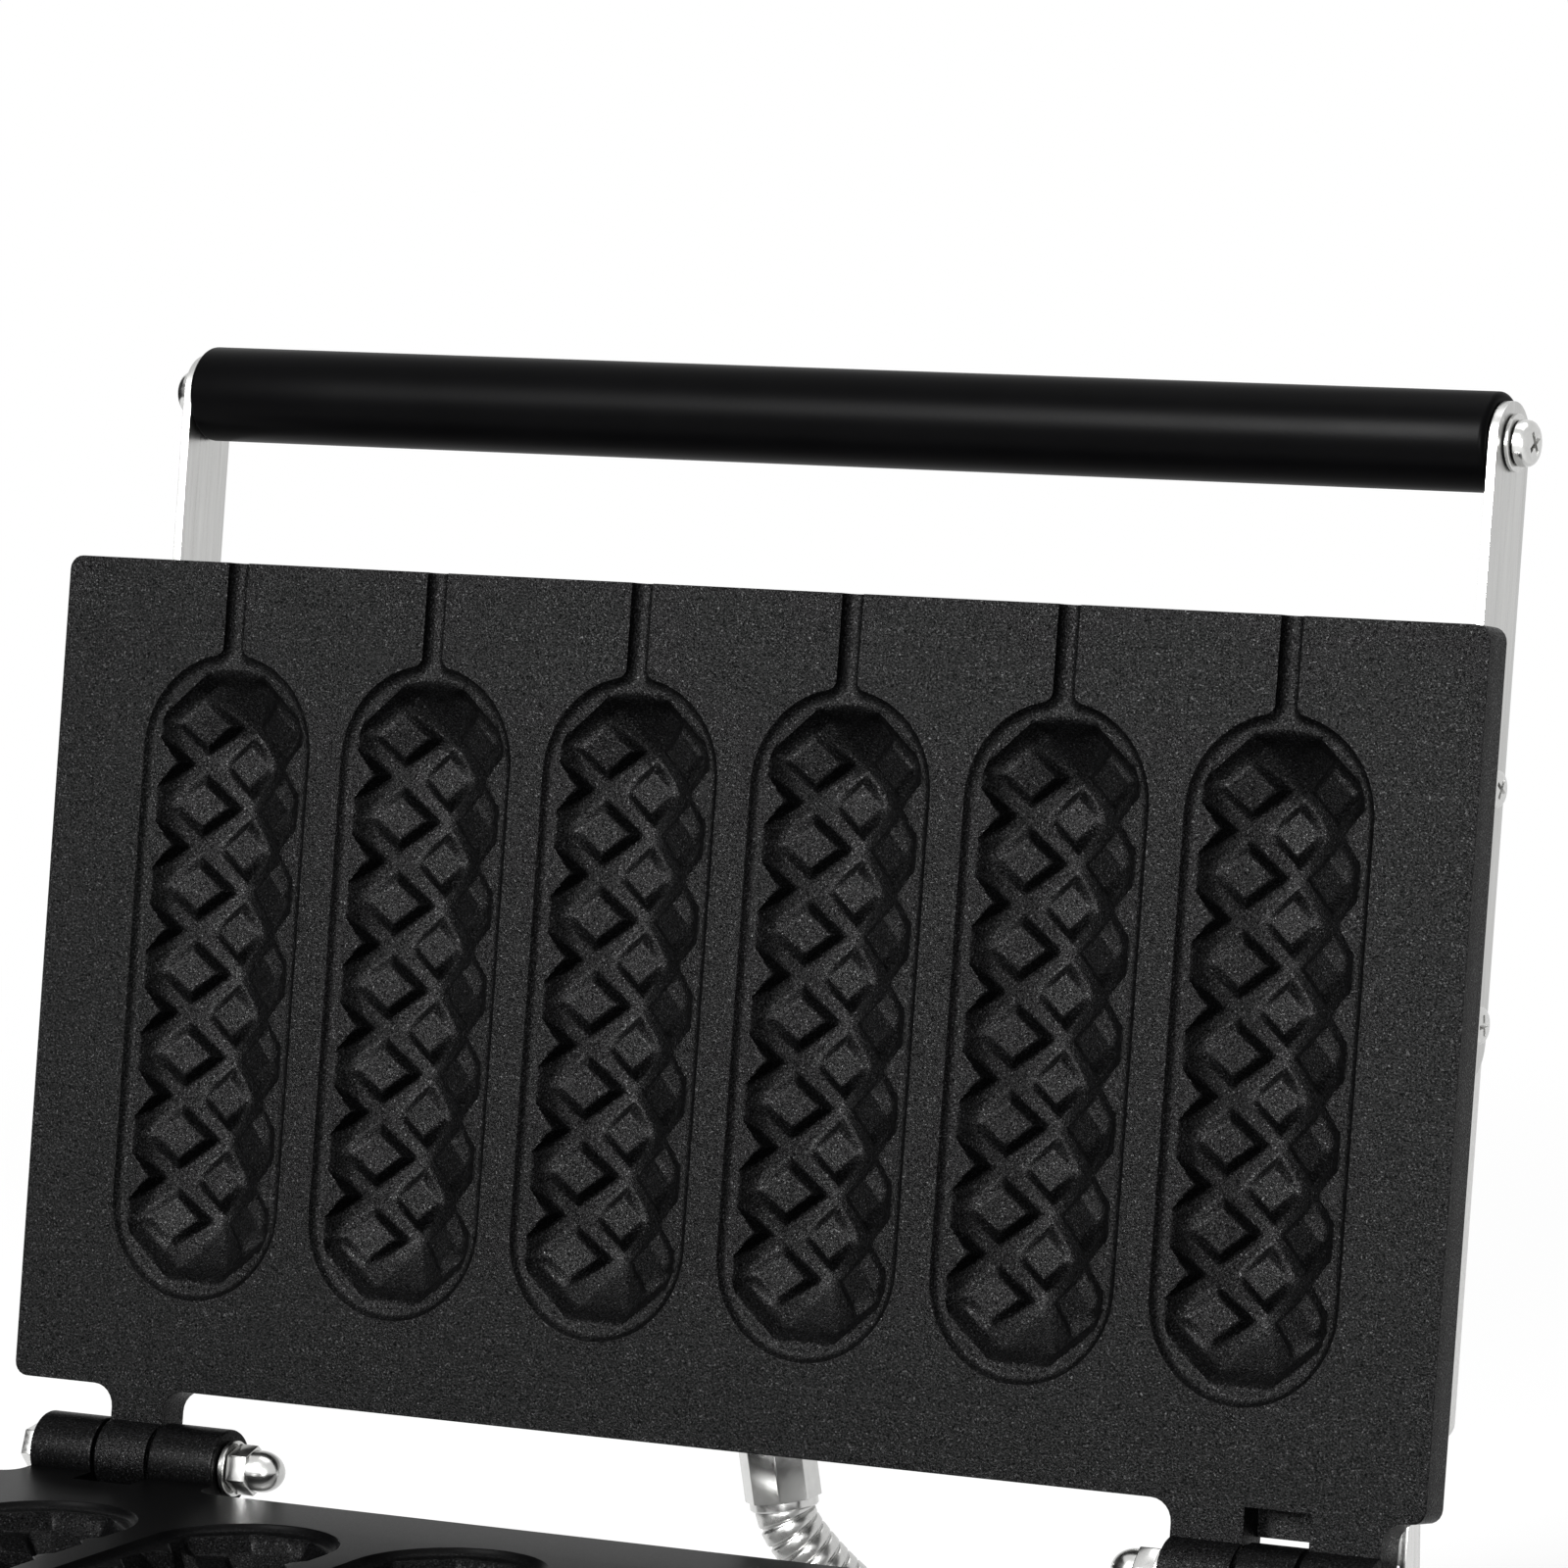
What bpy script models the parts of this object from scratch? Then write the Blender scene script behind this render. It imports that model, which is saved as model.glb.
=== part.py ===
# Waffle stick maker: two hinged cast plates with diamond-pattern cavities, a steel base with
# its controls, a steel lid cover, a bar handle on two side arms and a conduit from lid to base.
# Frame: metres, +Z up, the front faces -Y, X runs to the right. The origin lies on the ground
# under the middle of the whole object. Pieces are placed from the hinge axis.

import math

import bmesh
import bpy
from mathutils import Euler, Matrix, Vector
from mathutils.geometry import interpolate_bezier

for old in list(bpy.data.objects):
    bpy.data.objects.remove(old, do_unlink=True)

# Fits that hold everywhere
gap = 0.0003  # between two pieces that touch
overrun = 0.002  # how far a cutter runs past what it cuts
sink = 0.001  # how far two joined shapes run into each other
small_step = 0.0002  # a cutter's lap over a floor that another one cuts

# Stance and hinge line
hinge_height = 0.122
open_angle = math.radians(98.5)
face_drop = 0.0026  # the lower cooking face lies this far under the hinge axis

# Cast plates
plate_width = 0.350
plate_depth = 0.187
plate_setback = 0.016  # from the hinge axis to the plate's rear edge
plate_corner = 0.003
rim_thickness = 0.009
core_thickness = 0.0105
core_inset_side = 0.025
core_inset = 0.017
post_radius = 0.004
post_inset = 0.009  # from the core's edges to a post's middle

# Cavities
cavity_count = 6
cavity_margin = 0.045  # from the plate's side to the middle of the outer cavity
cavity_land = 0.008  # between two recesses
recess_margin = 0.0205  # from the plate's front and rear edges
recess_depth = 0.0017
stick_groove_radius = 0.0026
pocket_inset_side = 0.0035  # from the recess's outline
pocket_inset_end = 0.0048
pocket_corner_across_share = 0.5946  # of the pocket's half width
pocket_corner_along_share = 0.18622  # of its half length
pocket_depth = 0.015
trough_run_shares = (0.0, 0.44, 0.81, 1.0)  # of the pocket's half width
trough_depth_shares = (0.0, 0.489, 0.925, 1.0)  # of the depth under the recess
cell_across_share = 0.55946  # half a diamond's width, of the pocket's half width
cell_along = 0.01865  # a diamond's length, and the pitch in a column
land_share = 0.53  # a diamond's flat top, as a share of its cell
land_height = 0.0027

# Hinges
knuckle_radius = 0.00863
hinge_inset = 0.0095  # from the plate's side to the outer end of the outer lug
outer_lug_width = 0.0164
middle_lug_width = 0.0136
inner_lug_width = 0.0169
lug_clearance = 0.0008
lug_fillet = 0.005
hinge_bolt_radius = 0.003
hinge_bore_clearance = 0.0003
hex_across_flats = 0.010
hex_head_height = 0.004
washer_thickness = 0.0012
hinge_washer_radius = 0.0063
nut_height = 0.005
nut_dome_radius = 0.00475
nut_length = 0.012
bolt_end_depth = 0.0075  # how far the bolt reaches into its nut

# Lid cover and handle
cover_inset_side = 0.0143  # from the plate's edges
cover_inset_rear = 0.015
cover_inset_front = 0.012
cover_top = 0.045  # above the hinge axis, with the lid closed
cover_sheet = 0.001
cover_corner = 0.004
arm_width = 0.0176
arm_thickness = 0.002
arm_overlap = 0.083  # along the cover's side
arm_height = 0.0304  # above the hinge axis, with the lid closed
arm_screw_rear_inset = 0.012  # from the arm's rear end
arm_screw_front_inset = 0.021  # from the cover's front
grip_overhang = 0.040  # in front of the plates
grip_radius = 0.01075
grip_end_round = 0.0012
grip_bore_depth = 0.016

# Heating: one set in the lid and one in the base
heater_radius = 0.004
heater_bend = 0.020
heater_inset_side = 0.030  # from the core's edges
heater_inset_end = 0.014
heater_opening = 0.040  # between its two ends
clamp_thickness = 0.002
clamp_inset_side = 0.019
clamp_inset_end = 0.0035

# Base housing
housing_inset = 0.0095  # from the plate's sides
front_apron = 0.029
rear_reach = 0.004  # behind the hinge axis
housing_sheet = 0.0012
housing_corner = 0.006
core_clearance = 0.0015
louvre_count = 8
louvre_width = 0.003
louvre_height = 0.026
louvre_pitch = 0.012
louvre_middle_height = 0.060
foot_height = 0.014
foot_radius = 0.011
foot_taper = 0.0015
foot_stem_radius = 0.003
foot_stem_length = 0.006
foot_inset_side = 0.0205
foot_inset_end = 0.022
vent_count = 9
vent_width = 0.004
vent_length = 0.060
vent_pitch = 0.016
tray_flange = 0.012

# Controls on the front
panel_thickness = 0.001
panel_inset = 0.0155  # from the housing's sides
panel_height = 0.070
panel_middle = 0.060  # above the ground
panel_corner = 0.004
control_inset = 0.062  # from the panel's sides to each knob's middle
control_height = 0.062
knob_radius = 0.021
knob_height = 0.018
knob_skirt_height = 0.004
knob_grip_radius = 0.017
pointer_width = 0.003
pointer_rise = 0.0012
shaft_radius = 0.003
shaft_length = 0.012
timer_width = 0.050
timer_height = 0.044
timer_depth = 0.032
thermostat_width = 0.040
thermostat_height = 0.036
thermostat_depth = 0.026
lamp_spread = 0.022
lamp_height = 0.080
lamp_radius = 0.005
lamp_flange_radius = 0.0065
lamp_flange = 0.0015
lamp_length = 0.020
switch_height = 0.045
bezel_width = 0.019
bezel_height = 0.027
bezel_thickness = 0.002
rocker_width = 0.013
rocker_height = 0.0204
rocker_rise = 0.004
rocker_dip = 0.0015
rocker_back = 0.0010
rocker_tilt = math.radians(10)
rocker_slack = 0.0009
switch_depth = 0.018
switch_well = 0.005
switch_wall = 0.0012

# Rear of the base
gland_inset = 0.0555  # from the housing's left side
gland_height = 0.045
gland_radius = 0.0065
gland_hex_flats = 0.019
gland_hex_height = 0.006
gland_length = 0.022
gland_bore_radius = 0.0035
gland_thread_length = 0.009
terminal_length = 0.040
terminal_width = 0.018
terminal_height = 0.014
terminal_hole_radius = 0.002
terminal_pitch = 0.012
terminal_reach = 0.045  # in front of the housing's rear wall

# Lid stop bracket, on the right side wall
bracket_sheet = 0.0015
bracket_foot_front = 0.024
bracket_foot_low = 0.047
bracket_foot_top = 0.014
bracket_back = 0.0125  # behind the plate's rear face, with the lid open
bracket_reach = 0.021
lip_start = 0.0065
lip_width = 0.0075
bolt_head_clearance = 0.0035

# Conduit between lid and base
hose_radius = 0.00675
hose_groove_radius = 0.006
hose_bore_radius = 0.0045
hose_rib_pitch = 0.0033
ferrule_place = 0.033  # above the hinge axis, with the lid closed
ferrule_lean_back = math.radians(10)
ferrule_lean_side = math.radians(8)
ferrule_length = 0.0295
ferrule_flats = 0.016
ferrule_collar_radius = 0.0077
ferrule_collar_length = 0.002
ferrule_stub_radius = 0.006
ferrule_stub_length = 0.004
ferrule_sides = 8
fitting_inset = 0.0555  # from the housing's right side
fitting_drop = 0.070  # under the hinge axis
fitting_length = 0.018
hose_reach = 0.0645  # furthest behind the hinge axis
hose_route_shares = (  # of the fitting's side place, the reach and the fitting's drop
    (0.0864, 0.643, -0.214),
    (0.182, 0.752, -0.386),
    (0.327, 0.868, -0.543),
    (0.509, 0.969, -0.686),
    (0.700, 1.0, -0.814),
    (0.864, 0.907, -0.914),
    (0.964, 0.713, -0.979),
)

# Screws
small_shank = 0.0020
small_shank_length = 0.008
bracket_shank_length = 0.007
grip_shank = 0.0025
grip_shank_length = 0.016
grip_head = 0.0050
grip_head_height = 0.0034
arm_head = 0.0042
arm_head_height = 0.0028
cover_head = 0.0040
cover_head_height = 0.0026
grip_washer_radius = 0.0062
grip_washer_thickness = 0.001
screw_clearance = 0.0003
screw_seat_depth = 0.010  # a threaded hole's depth
cross_width_share = 0.24  # of the head's radius
cross_length_share = 0.62
cross_depth_share = 0.55  # of the head's height
dome_share = 0.45
dome_top_share = 0.62

round_steps = 16
fine_round_steps = 24
screw_steps = 10
corner_steps = 2
hex_sides = 6

finishes = {
    "coating": ((0.030, 0.031, 0.034), 0.42, 0.0),
    "steel": ((0.62, 0.62, 0.61), 0.28, 1.0),
    "sheet": ((0.55, 0.55, 0.55), 0.34, 1.0),
    "black_plastic": ((0.020, 0.020, 0.021), 0.42, 0.0),
    "rubber": ((0.025, 0.025, 0.025), 0.85, 0.0),
    "element": ((0.22, 0.20, 0.18), 0.50, 1.0),
    "wool": ((0.78, 0.76, 0.70), 0.95, 0.0),
    "panel": ((0.035, 0.036, 0.038), 0.38, 0.0),
    "red_lens": ((0.65, 0.03, 0.02), 0.12, 0.0),
    "green_lens": ((0.05, 0.45, 0.10), 0.12, 0.0),
    "white_ceramic": ((0.80, 0.79, 0.76), 0.40, 0.0),
}


# Places that follow from the sizes
upper_face = face_drop - gap  # the lid's cooking face lies this far under the axis, closed
rear_edge = -plate_setback
front_edge = -(plate_setback + plate_depth)
plate_middle = (rear_edge + front_edge) / 2
hinge_outer = plate_width / 2 - hinge_inset
cavity_pitch = (plate_width - 2 * cavity_margin) / (cavity_count - 1)
recess_width = cavity_pitch - cavity_land
recess_length = plate_depth - 2 * recess_margin
pocket_width = recess_width - 2 * pocket_inset_side
pocket_length = recess_length - 2 * pocket_inset_end
pocket_corner_across = pocket_width / 2 * pocket_corner_across_share
pocket_corner_along = pocket_length / 2 * pocket_corner_along_share
cell_across = pocket_width / 2 * cell_across_share
core_width = plate_width - 2 * core_inset_side
core_length = plate_depth - 2 * core_inset
heater_width = core_width - 2 * heater_inset_side
heater_length = core_length - 2 * heater_inset_end
clamp_width = core_width - 2 * clamp_inset_side
clamp_length = core_length - 2 * clamp_inset_end
cover_width = plate_width - 2 * cover_inset_side
cover_rear = plate_setback + cover_inset_rear
cover_front = -front_edge - cover_inset_front
arm_start = cover_front - arm_overlap
arm_screw_places = (arm_start + arm_screw_rear_inset, cover_front - arm_screw_front_inset)
grip_reach = grip_overhang - front_edge
housing_width = plate_width - 2 * housing_inset
panel_width = housing_width - 2 * panel_inset
control_spread = panel_width / 2 - control_inset
gland_side = gland_inset - housing_width / 2
fitting_side = housing_width / 2 - fitting_inset
grip_screw = (grip_shank, grip_shank_length, grip_head, grip_head_height)
arm_screw = (small_shank, small_shank_length, arm_head, arm_head_height)
cover_screw = (small_shank, small_shank_length, cover_head, cover_head_height)
bracket_screw = (small_shank, bracket_shank_length, arm_head, arm_head_height)
core_back = rim_thickness + core_thickness
heater_depth = core_back + gap + heater_radius
clamp_depth = heater_depth + heater_radius + gap
cover_inside = cover_top - cover_sheet
post_end = cover_inside - gap + upper_face
wool_depth = clamp_depth + clamp_thickness + gap
post_side = core_width / 2 - post_inset
post_end_place = plate_depth / 2 - core_inset - post_inset
housing_top = -(face_drop + rim_thickness + gap)
housing_front = front_edge - front_apron
ground = -hinge_height
housing_low = ground + foot_height + gap
panel_face = housing_front - gap - panel_thickness
front_reach = -panel_face + gap + knob_height
back_reach = (
    -grip_reach * math.cos(open_angle) + arm_height * math.sin(open_angle) + grip_radius
)
hinge_y = (front_reach - back_reach) / 2
cavity_places = [
    (index - (cavity_count - 1) / 2) * cavity_pitch for index in range(cavity_count)
]
outer_lug = (hinge_outer - outer_lug_width, hinge_outer)
middle_lug_outer = outer_lug[0] - lug_clearance
middle_lug = (middle_lug_outer - middle_lug_width, middle_lug_outer)
inner_lug_outer = middle_lug[0] - lug_clearance
inner_lug = (inner_lug_outer - inner_lug_width, inner_lug_outer)
arm_inner = cover_width / 2 + gap
arm_outer = arm_inner + arm_thickness

# Turns that lay a piece built along +Z against a wall
to_front = (math.radians(90), 0, 0)
to_rear = (math.radians(-90), 0, 0)
to_right = (0, math.radians(90), 0)
to_left = (0, math.radians(-90), 0)
upright = (0, 0, 0)
side_plane = Matrix(((0, 0, 1, 0), (1, 0, 0, 0), (0, 1, 0, 0), (0, 0, 0, 1)))


# Frames: the hinge axis for the base, the same axis turned open for the lid, and each casting
def add_frame(name, parent, place, turn=upright):
    frame = bpy.data.objects.new(name, None)
    bpy.context.scene.collection.objects.link(frame)
    frame.parent = parent
    frame.location = place
    frame.rotation_euler = turn
    return frame


base_frame = add_frame("base_frame", None, (0, hinge_y, hinge_height))
lid_frame = add_frame("lid_frame", base_frame, (0, 0, 0), (-open_angle, 0, 0))
lower_frame = add_frame("lower_frame", base_frame, (0, 0, -face_drop))
upper_frame = add_frame("upper_frame", lid_frame, (0, 0, -upper_face), (0, math.pi, 0))


def make_material(name, finish):
    colour, roughness, metallic = finishes[finish]
    made = bpy.data.materials.new(name)
    made.use_nodes = True
    shader = made.node_tree.nodes["Principled BSDF"]
    shader.inputs["Base Color"].default_value = (*colour, 1)
    shader.inputs["Roughness"].default_value = roughness
    shader.inputs["Metallic"].default_value = metallic
    made.diffuse_color = (*colour, 1)
    return made


def add_object(name, bm, finish, frame, place=(0, 0, 0), turn=upright):
    mesh = bpy.data.meshes.new(name)
    bm.to_mesh(mesh)
    bm.free()
    mesh.shade_smooth()
    mesh.set_sharp_from_angle(angle=math.radians(35))
    made = bpy.data.objects.new(name, mesh)
    bpy.context.scene.collection.objects.link(made)
    made.parent = frame
    made.location = place
    made.rotation_euler = turn
    if finish:
        mesh.materials.append(make_material(name, finish))
    else:
        made.hide_render = True
        made.display_type = "WIRE"
    return made


# Joins a helper to a piece, cuts it out, or keeps what they share. The helper has the piece's frame.
def combine(piece, bm, operation="DIFFERENCE", place=None, turn=None):
    helper = add_object(
        f"{piece.name}.{operation.lower()}",
        bm,
        None,
        piece.parent,
        piece.location if place is None else place,
        piece.rotation_euler if turn is None else turn,
    )
    modifier = piece.modifiers.new(operation.title(), "BOOLEAN")
    modifier.operation = operation
    modifier.solver = "EXACT"
    modifier.object = helper
    return helper


def add_box(bm, low, high):
    size = Vector(high) - Vector(low)
    middle = (Vector(high) + Vector(low)) / 2
    place = Matrix.Translation(middle) @ Matrix.Diagonal((*size, 1))
    return bmesh.ops.create_cube(bm, size=1, matrix=place)["verts"]


def add_rod(bm, radius, start, end, steps=round_steps, end_radius=None):
    start, end = Vector(start), Vector(end)
    along = end - start
    place = Matrix.Translation((start + end) / 2) @ along.to_track_quat("Z", "Y").to_matrix().to_4x4()
    bmesh.ops.create_cone(
        bm,
        cap_ends=True,
        segments=steps,
        radius1=radius,
        radius2=radius if end_radius is None else end_radius,
        depth=along.length,
        matrix=place,
    )


# An outline's corners, each rounded by its own radius
def rounded(corners):
    points = []
    for index, (x, y, radius) in enumerate(corners):
        corner = Vector((x, y))
        if not radius:
            points.append(corner)
            continue
        before = (Vector(corners[index - 1][:2]) - corner).normalized()
        after = (Vector(corners[(index + 1) % len(corners)][:2]) - corner).normalized()
        half = before.angle(after) / 2
        centre = corner + (before + after).normalized() * (radius / math.sin(half))
        first = corner + before * (radius / math.tan(half)) - centre
        last = corner + after * (radius / math.tan(half)) - centre
        sweep = first.angle_signed(last)
        for step in range(corner_steps + 1):
            turn = Matrix.Rotation(-sweep * step / corner_steps, 2)
            points.append(centre + turn @ first)
    return points


def rectangle(width, height, radius, middle=(0, 0)):
    x, y = middle
    return rounded(
        [
            (x + side * width / 2, y + end * height / 2, radius)
            for side, end in ((-1, -1), (1, -1), (1, 1), (-1, 1))
        ]
    )


def add_prism(bm, outline, low, high, plane=None):
    before = set(bm.verts)
    ring = [bm.verts.new((x, y, low)) for x, y in outline]
    face = bm.faces.new(ring)
    grown = bmesh.ops.extrude_face_region(bm, geom=[face])["geom"]
    for vert in grown:
        if isinstance(vert, bmesh.types.BMVert):
            vert.co.z = high
    new = [vert for vert in bm.verts if vert not in before]
    if plane:
        bmesh.ops.transform(bm, matrix=plane, verts=new)
    faces = {face for vert in new for face in vert.link_faces}
    bmesh.ops.recalc_face_normals(bm, faces=list(faces))


def prism(outline, low, high, plane=None):
    bm = bmesh.new()
    add_prism(bm, outline, low, high, plane)
    return bm


# A turned solid about Z from a profile of (radius, height) that starts and ends on the axis
def turned(profile, steps=round_steps):
    bm = bmesh.new()
    line = [bm.verts.new((radius, 0, height)) for radius, height in profile]
    edges = [bm.edges.new(pair) for pair in zip(line, line[1:])]
    bmesh.ops.spin(
        bm,
        geom=line + edges,
        axis=(0, 0, 1),
        cent=(0, 0, 0),
        angle=math.tau,
        steps=steps,
        use_merge=True,
    )
    bmesh.ops.remove_doubles(bm, verts=bm.verts, dist=small_step / round_steps)
    bmesh.ops.recalc_face_normals(bm, faces=bm.faces)
    return bm


def bevel_edges(bm, radius, chosen):
    edges = [edge for edge in bm.edges if chosen(edge)]
    bmesh.ops.bevel(
        bm, geom=edges, offset=radius, segments=corner_steps, profile=0.5, affect="EDGES"
    )


def is_upright(edge):
    start, end = edge.verts
    return abs(start.co.z - end.co.z) > abs(start.co.x - end.co.x) + abs(start.co.y - end.co.y)


# A box with its upright edges and its top edges rounded
def soft_box(low, high, radius):
    bm = bmesh.new()
    add_box(bm, low, high)
    top = high[2] - small_step
    bevel_edges(
        bm, radius, lambda edge: is_upright(edge) or all(vert.co.z > top for vert in edge.verts)
    )
    return bm


# A sheet-metal box that is open below
def add_shell(name, low, high, sheet, radius, finish, frame):
    shell = add_object(name, soft_box(low, high, radius), finish, frame)
    inner_low = (low[0] + sheet, low[1] + sheet, low[2] - overrun)
    inner_high = (high[0] - sheet, high[1] - sheet, high[2] - sheet)
    combine(shell, soft_box(inner_low, inner_high, radius - sheet))
    return shell


# Screws, washers and nuts are built along +Z with their seat at zero and their head above it
def cross_outline(head_radius):
    wide = head_radius * cross_width_share / 2
    far = head_radius * cross_length_share
    corners = []
    for quarter in range(4):
        turn = Matrix.Rotation(quarter * math.pi / 2, 2)
        for point in ((wide, wide), (far, wide), (far, -wide)):
            corners.append(turn @ Vector(point))
    ordered = sorted(corners, key=lambda point: math.atan2(point.y, point.x))
    return ordered


def pan_screw(name, frame, place, turn, sizes, crossed):
    radius, length, head_radius, head_height = sizes
    profile = (
        (0, -length),
        (radius, -length),
        (radius, 0),
        (head_radius, 0),
        (head_radius, head_height * dome_share),
        (head_radius * dome_top_share, head_height),
        (0, head_height),
    )
    screw = add_object(name, turned(profile, screw_steps), "steel", frame, place, turn)
    if crossed:
        floor = head_height * (1 - cross_depth_share)
        combine(screw, prism(cross_outline(head_radius), floor, head_height + overrun))
    return screw


def washer(name, frame, place, turn, radius, hole_radius, thickness):
    ring = bmesh.new()
    add_rod(ring, radius, (0, 0, 0), (0, 0, thickness))
    made = add_object(name, ring, "steel", frame, place, turn)
    hole = bmesh.new()
    add_rod(hole, hole_radius, (0, 0, -overrun), (0, 0, thickness + overrun))
    combine(made, hole)


def hex_radius(flats):
    return flats / math.sqrt(3)


def octagon_radius(flats):
    return flats / 2 / math.cos(math.pi / ferrule_sides)


# The cavities: depth of the groove bottoms at a point, by its distance in from the outline
def trough_depth(x, y):
    across = pocket_width / 2 - abs(x)
    along = pocket_length / 2 - abs(y)
    corner = (
        across * pocket_corner_along
        + along * pocket_corner_across
        - pocket_corner_across * pocket_corner_along
    ) / math.hypot(pocket_corner_across, pocket_corner_along)
    inward = min(across, along, corner) / (pocket_width / 2)
    spans = zip(trough_run_shares, trough_run_shares[1:], trough_depth_shares, trough_depth_shares[1:])
    for start, end, shallow, deep in spans:
        if inward <= end:
            break
    share = shallow + (deep - shallow) * (inward - start) / (end - start)
    return recess_depth + min(share, 1) * (pocket_depth - recess_depth)


# One cavity's floor: diamonds with flat tops and sloping sides, whose corners are shared
def add_lattice(bm, middle_x, middle_y):
    half = cell_along / 2
    rows = math.ceil((pocket_length / 2 + cell_along) / half)
    columns = math.ceil(pocket_width / 2 / cell_across)
    corners = {}

    def corner(column, row):
        if (column, row) not in corners:
            x, y = column * cell_across, row * half
            depth = trough_depth(x, y)
            corners[column, row] = bm.verts.new((middle_x + x, middle_y + y, -depth))
        return corners[column, row]

    for column in range(-columns, columns + 1):
        for row in range(-rows, rows + 1):
            if (column + row) % 2 == 0:
                continue
            steps = ((1, 0), (0, 1), (-1, 0), (0, -1))
            outer = [corner(column + across, row + along) for across, along in steps]
            top = []
            for across, along in steps:
                x = (column + across * land_share) * cell_across
                y = (row + along * land_share) * half
                depth = trough_depth(x, y) - land_height
                top.append(bm.verts.new((middle_x + x, middle_y + y, -depth)))
            bm.faces.new((top[0], top[1], top[3]))
            bm.faces.new((top[1], top[2], top[3]))
            for index in range(4):
                after = (index + 1) % 4
                bm.faces.new((outer[index], outer[after], top[after], top[index]))


def pocket_cutters():
    bm = bmesh.new()
    for place in cavity_places:
        add_lattice(bm, place, plate_middle)
    bmesh.ops.triangulate(bm, faces=bm.faces)
    bmesh.ops.bisect_plane(
        bm,
        geom=bm.verts[:] + bm.edges[:] + bm.faces[:],
        plane_co=(0, 0, small_step - recess_depth),
        plane_no=(0, 0, 1),
        clear_outer=True,
    )
    rim = [edge for edge in bm.edges if edge.is_boundary]
    raised = bmesh.ops.extrude_edge_only(bm, edges=rim)["geom"]
    for item in raised:
        if isinstance(item, bmesh.types.BMVert):
            item.co.z = overrun
    bmesh.ops.holes_fill(bm, edges=[edge for edge in bm.edges if edge.is_boundary])
    bmesh.ops.recalc_face_normals(bm, faces=bm.faces)
    return bm


def recess_cutters():
    bm = bmesh.new()
    for place in cavity_places:
        outline = []
        reach = recess_length / 2 - recess_width / 2
        for end in (-1, 1):
            for step in range(round_steps // 2 + 1):
                angle = math.pi * step / (round_steps // 2) + (math.pi if end < 0 else 0)
                x = place + recess_width / 2 * math.cos(angle)
                y = plate_middle + end * reach + recess_width / 2 * math.sin(angle)
                outline.append((x, y))
        add_prism(bm, outline, -recess_depth, overrun)
    return bm


def groove_cutters():
    bm = bmesh.new()
    end = plate_middle - recess_length / 2 + sink
    for place in cavity_places:
        start = (place, front_edge - overrun, 0)
        add_rod(bm, stick_groove_radius, start, (place, end, 0), screw_steps)
    return bm


# The lugs of one casting: a pair on one side and a single one on the other
def lugs_of(side):
    pair = [sorted((side * low, side * high)) for low, high in (outer_lug, inner_lug)]
    single = sorted((-side * middle_lug[0], -side * middle_lug[1]))
    return pair, single


def plate_outline(side):
    pair, single = lugs_of(side)
    half = plate_width / 2
    corners = [(-half, front_edge, plate_corner), (half, front_edge, plate_corner)]
    corners.append((half, rear_edge, plate_corner))
    notch = sorted(end for lug in pair for end in lug)[1:3]
    for low, high in sorted(pair + [single], reverse=True):
        corners.append((high, rear_edge, 0 if high in notch else lug_fillet))
        corners.append((high, 0, 0))
        corners.append((low, 0, 0))
        corners.append((low, rear_edge, 0 if low in notch else lug_fillet))
    corners.append((-half, rear_edge, plate_corner))
    return rounded(corners)


# The casting seen from its side: the rim, and lugs whose back runs smoothly onto the knuckle
def plate_side_form(axis_rise):
    root = Vector((rear_edge, -rim_thickness))
    away = Vector((0, axis_rise)) - root
    angle = math.atan2(away.y, away.x) - math.asin(knuckle_radius / away.length)
    run = math.sqrt(away.length**2 - knuckle_radius**2)
    touch = root + run * Vector((math.cos(angle), math.sin(angle)))
    if touch.y < -rim_thickness:
        touch = Vector((0, -rim_thickness))
    outline = [
        (front_edge - overrun, 0),
        (front_edge - overrun, -rim_thickness),
        tuple(root),
        tuple(touch),
        (0, 0),
    ]
    half = plate_width / 2 + overrun
    return prism(outline, -half, half, side_plane)


def make_plate(name, frame, axis_rise, side):
    blank = prism(plate_outline(side), -(rim_thickness + core_thickness), overrun)
    plate = add_object(name, blank, "coating", frame)
    combine(plate, plate_side_form(axis_rise), "INTERSECT")
    more = bmesh.new()
    core_end = plate_depth / 2 - core_inset
    add_box(
        more,
        (-core_width / 2, plate_middle - core_end, -core_back),
        (core_width / 2, plate_middle + core_end, -rim_thickness + sink),
    )
    pair, single = lugs_of(side)
    for low, high in pair + [single]:
        add_rod(more, knuckle_radius, (low, 0, axis_rise), (high, 0, axis_rise))
    combine(plate, more, "UNION")
    posts = bmesh.new()
    for x, y in post_places():
        add_rod(posts, post_radius, (x, y, -post_end), (x, y, -core_back + sink), screw_steps)
    combine(plate, posts, "UNION")
    combine(plate, recess_cutters())
    combine(plate, pocket_cutters())
    combine(plate, groove_cutters())
    bores = bmesh.new()
    bore = hinge_bolt_radius + hinge_bore_clearance
    for end in (-1, 1):
        low, high = end * (inner_lug[0] - overrun), end * (hinge_outer + overrun)
        add_rod(bores, bore, (low, 0, axis_rise), (high, 0, axis_rise))
    for x, y in post_places():
        depth = post_end - screw_seat_depth
        radius = cover_screw[0] + screw_clearance
        add_rod(bores, radius, (x, y, -post_end - overrun), (x, y, -depth), screw_steps)
    combine(plate, bores)


def post_places():
    return [
        (side * post_side, plate_middle + end * post_end_place) for side in (-1, 1) for end in (-1, 1)
    ]


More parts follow.
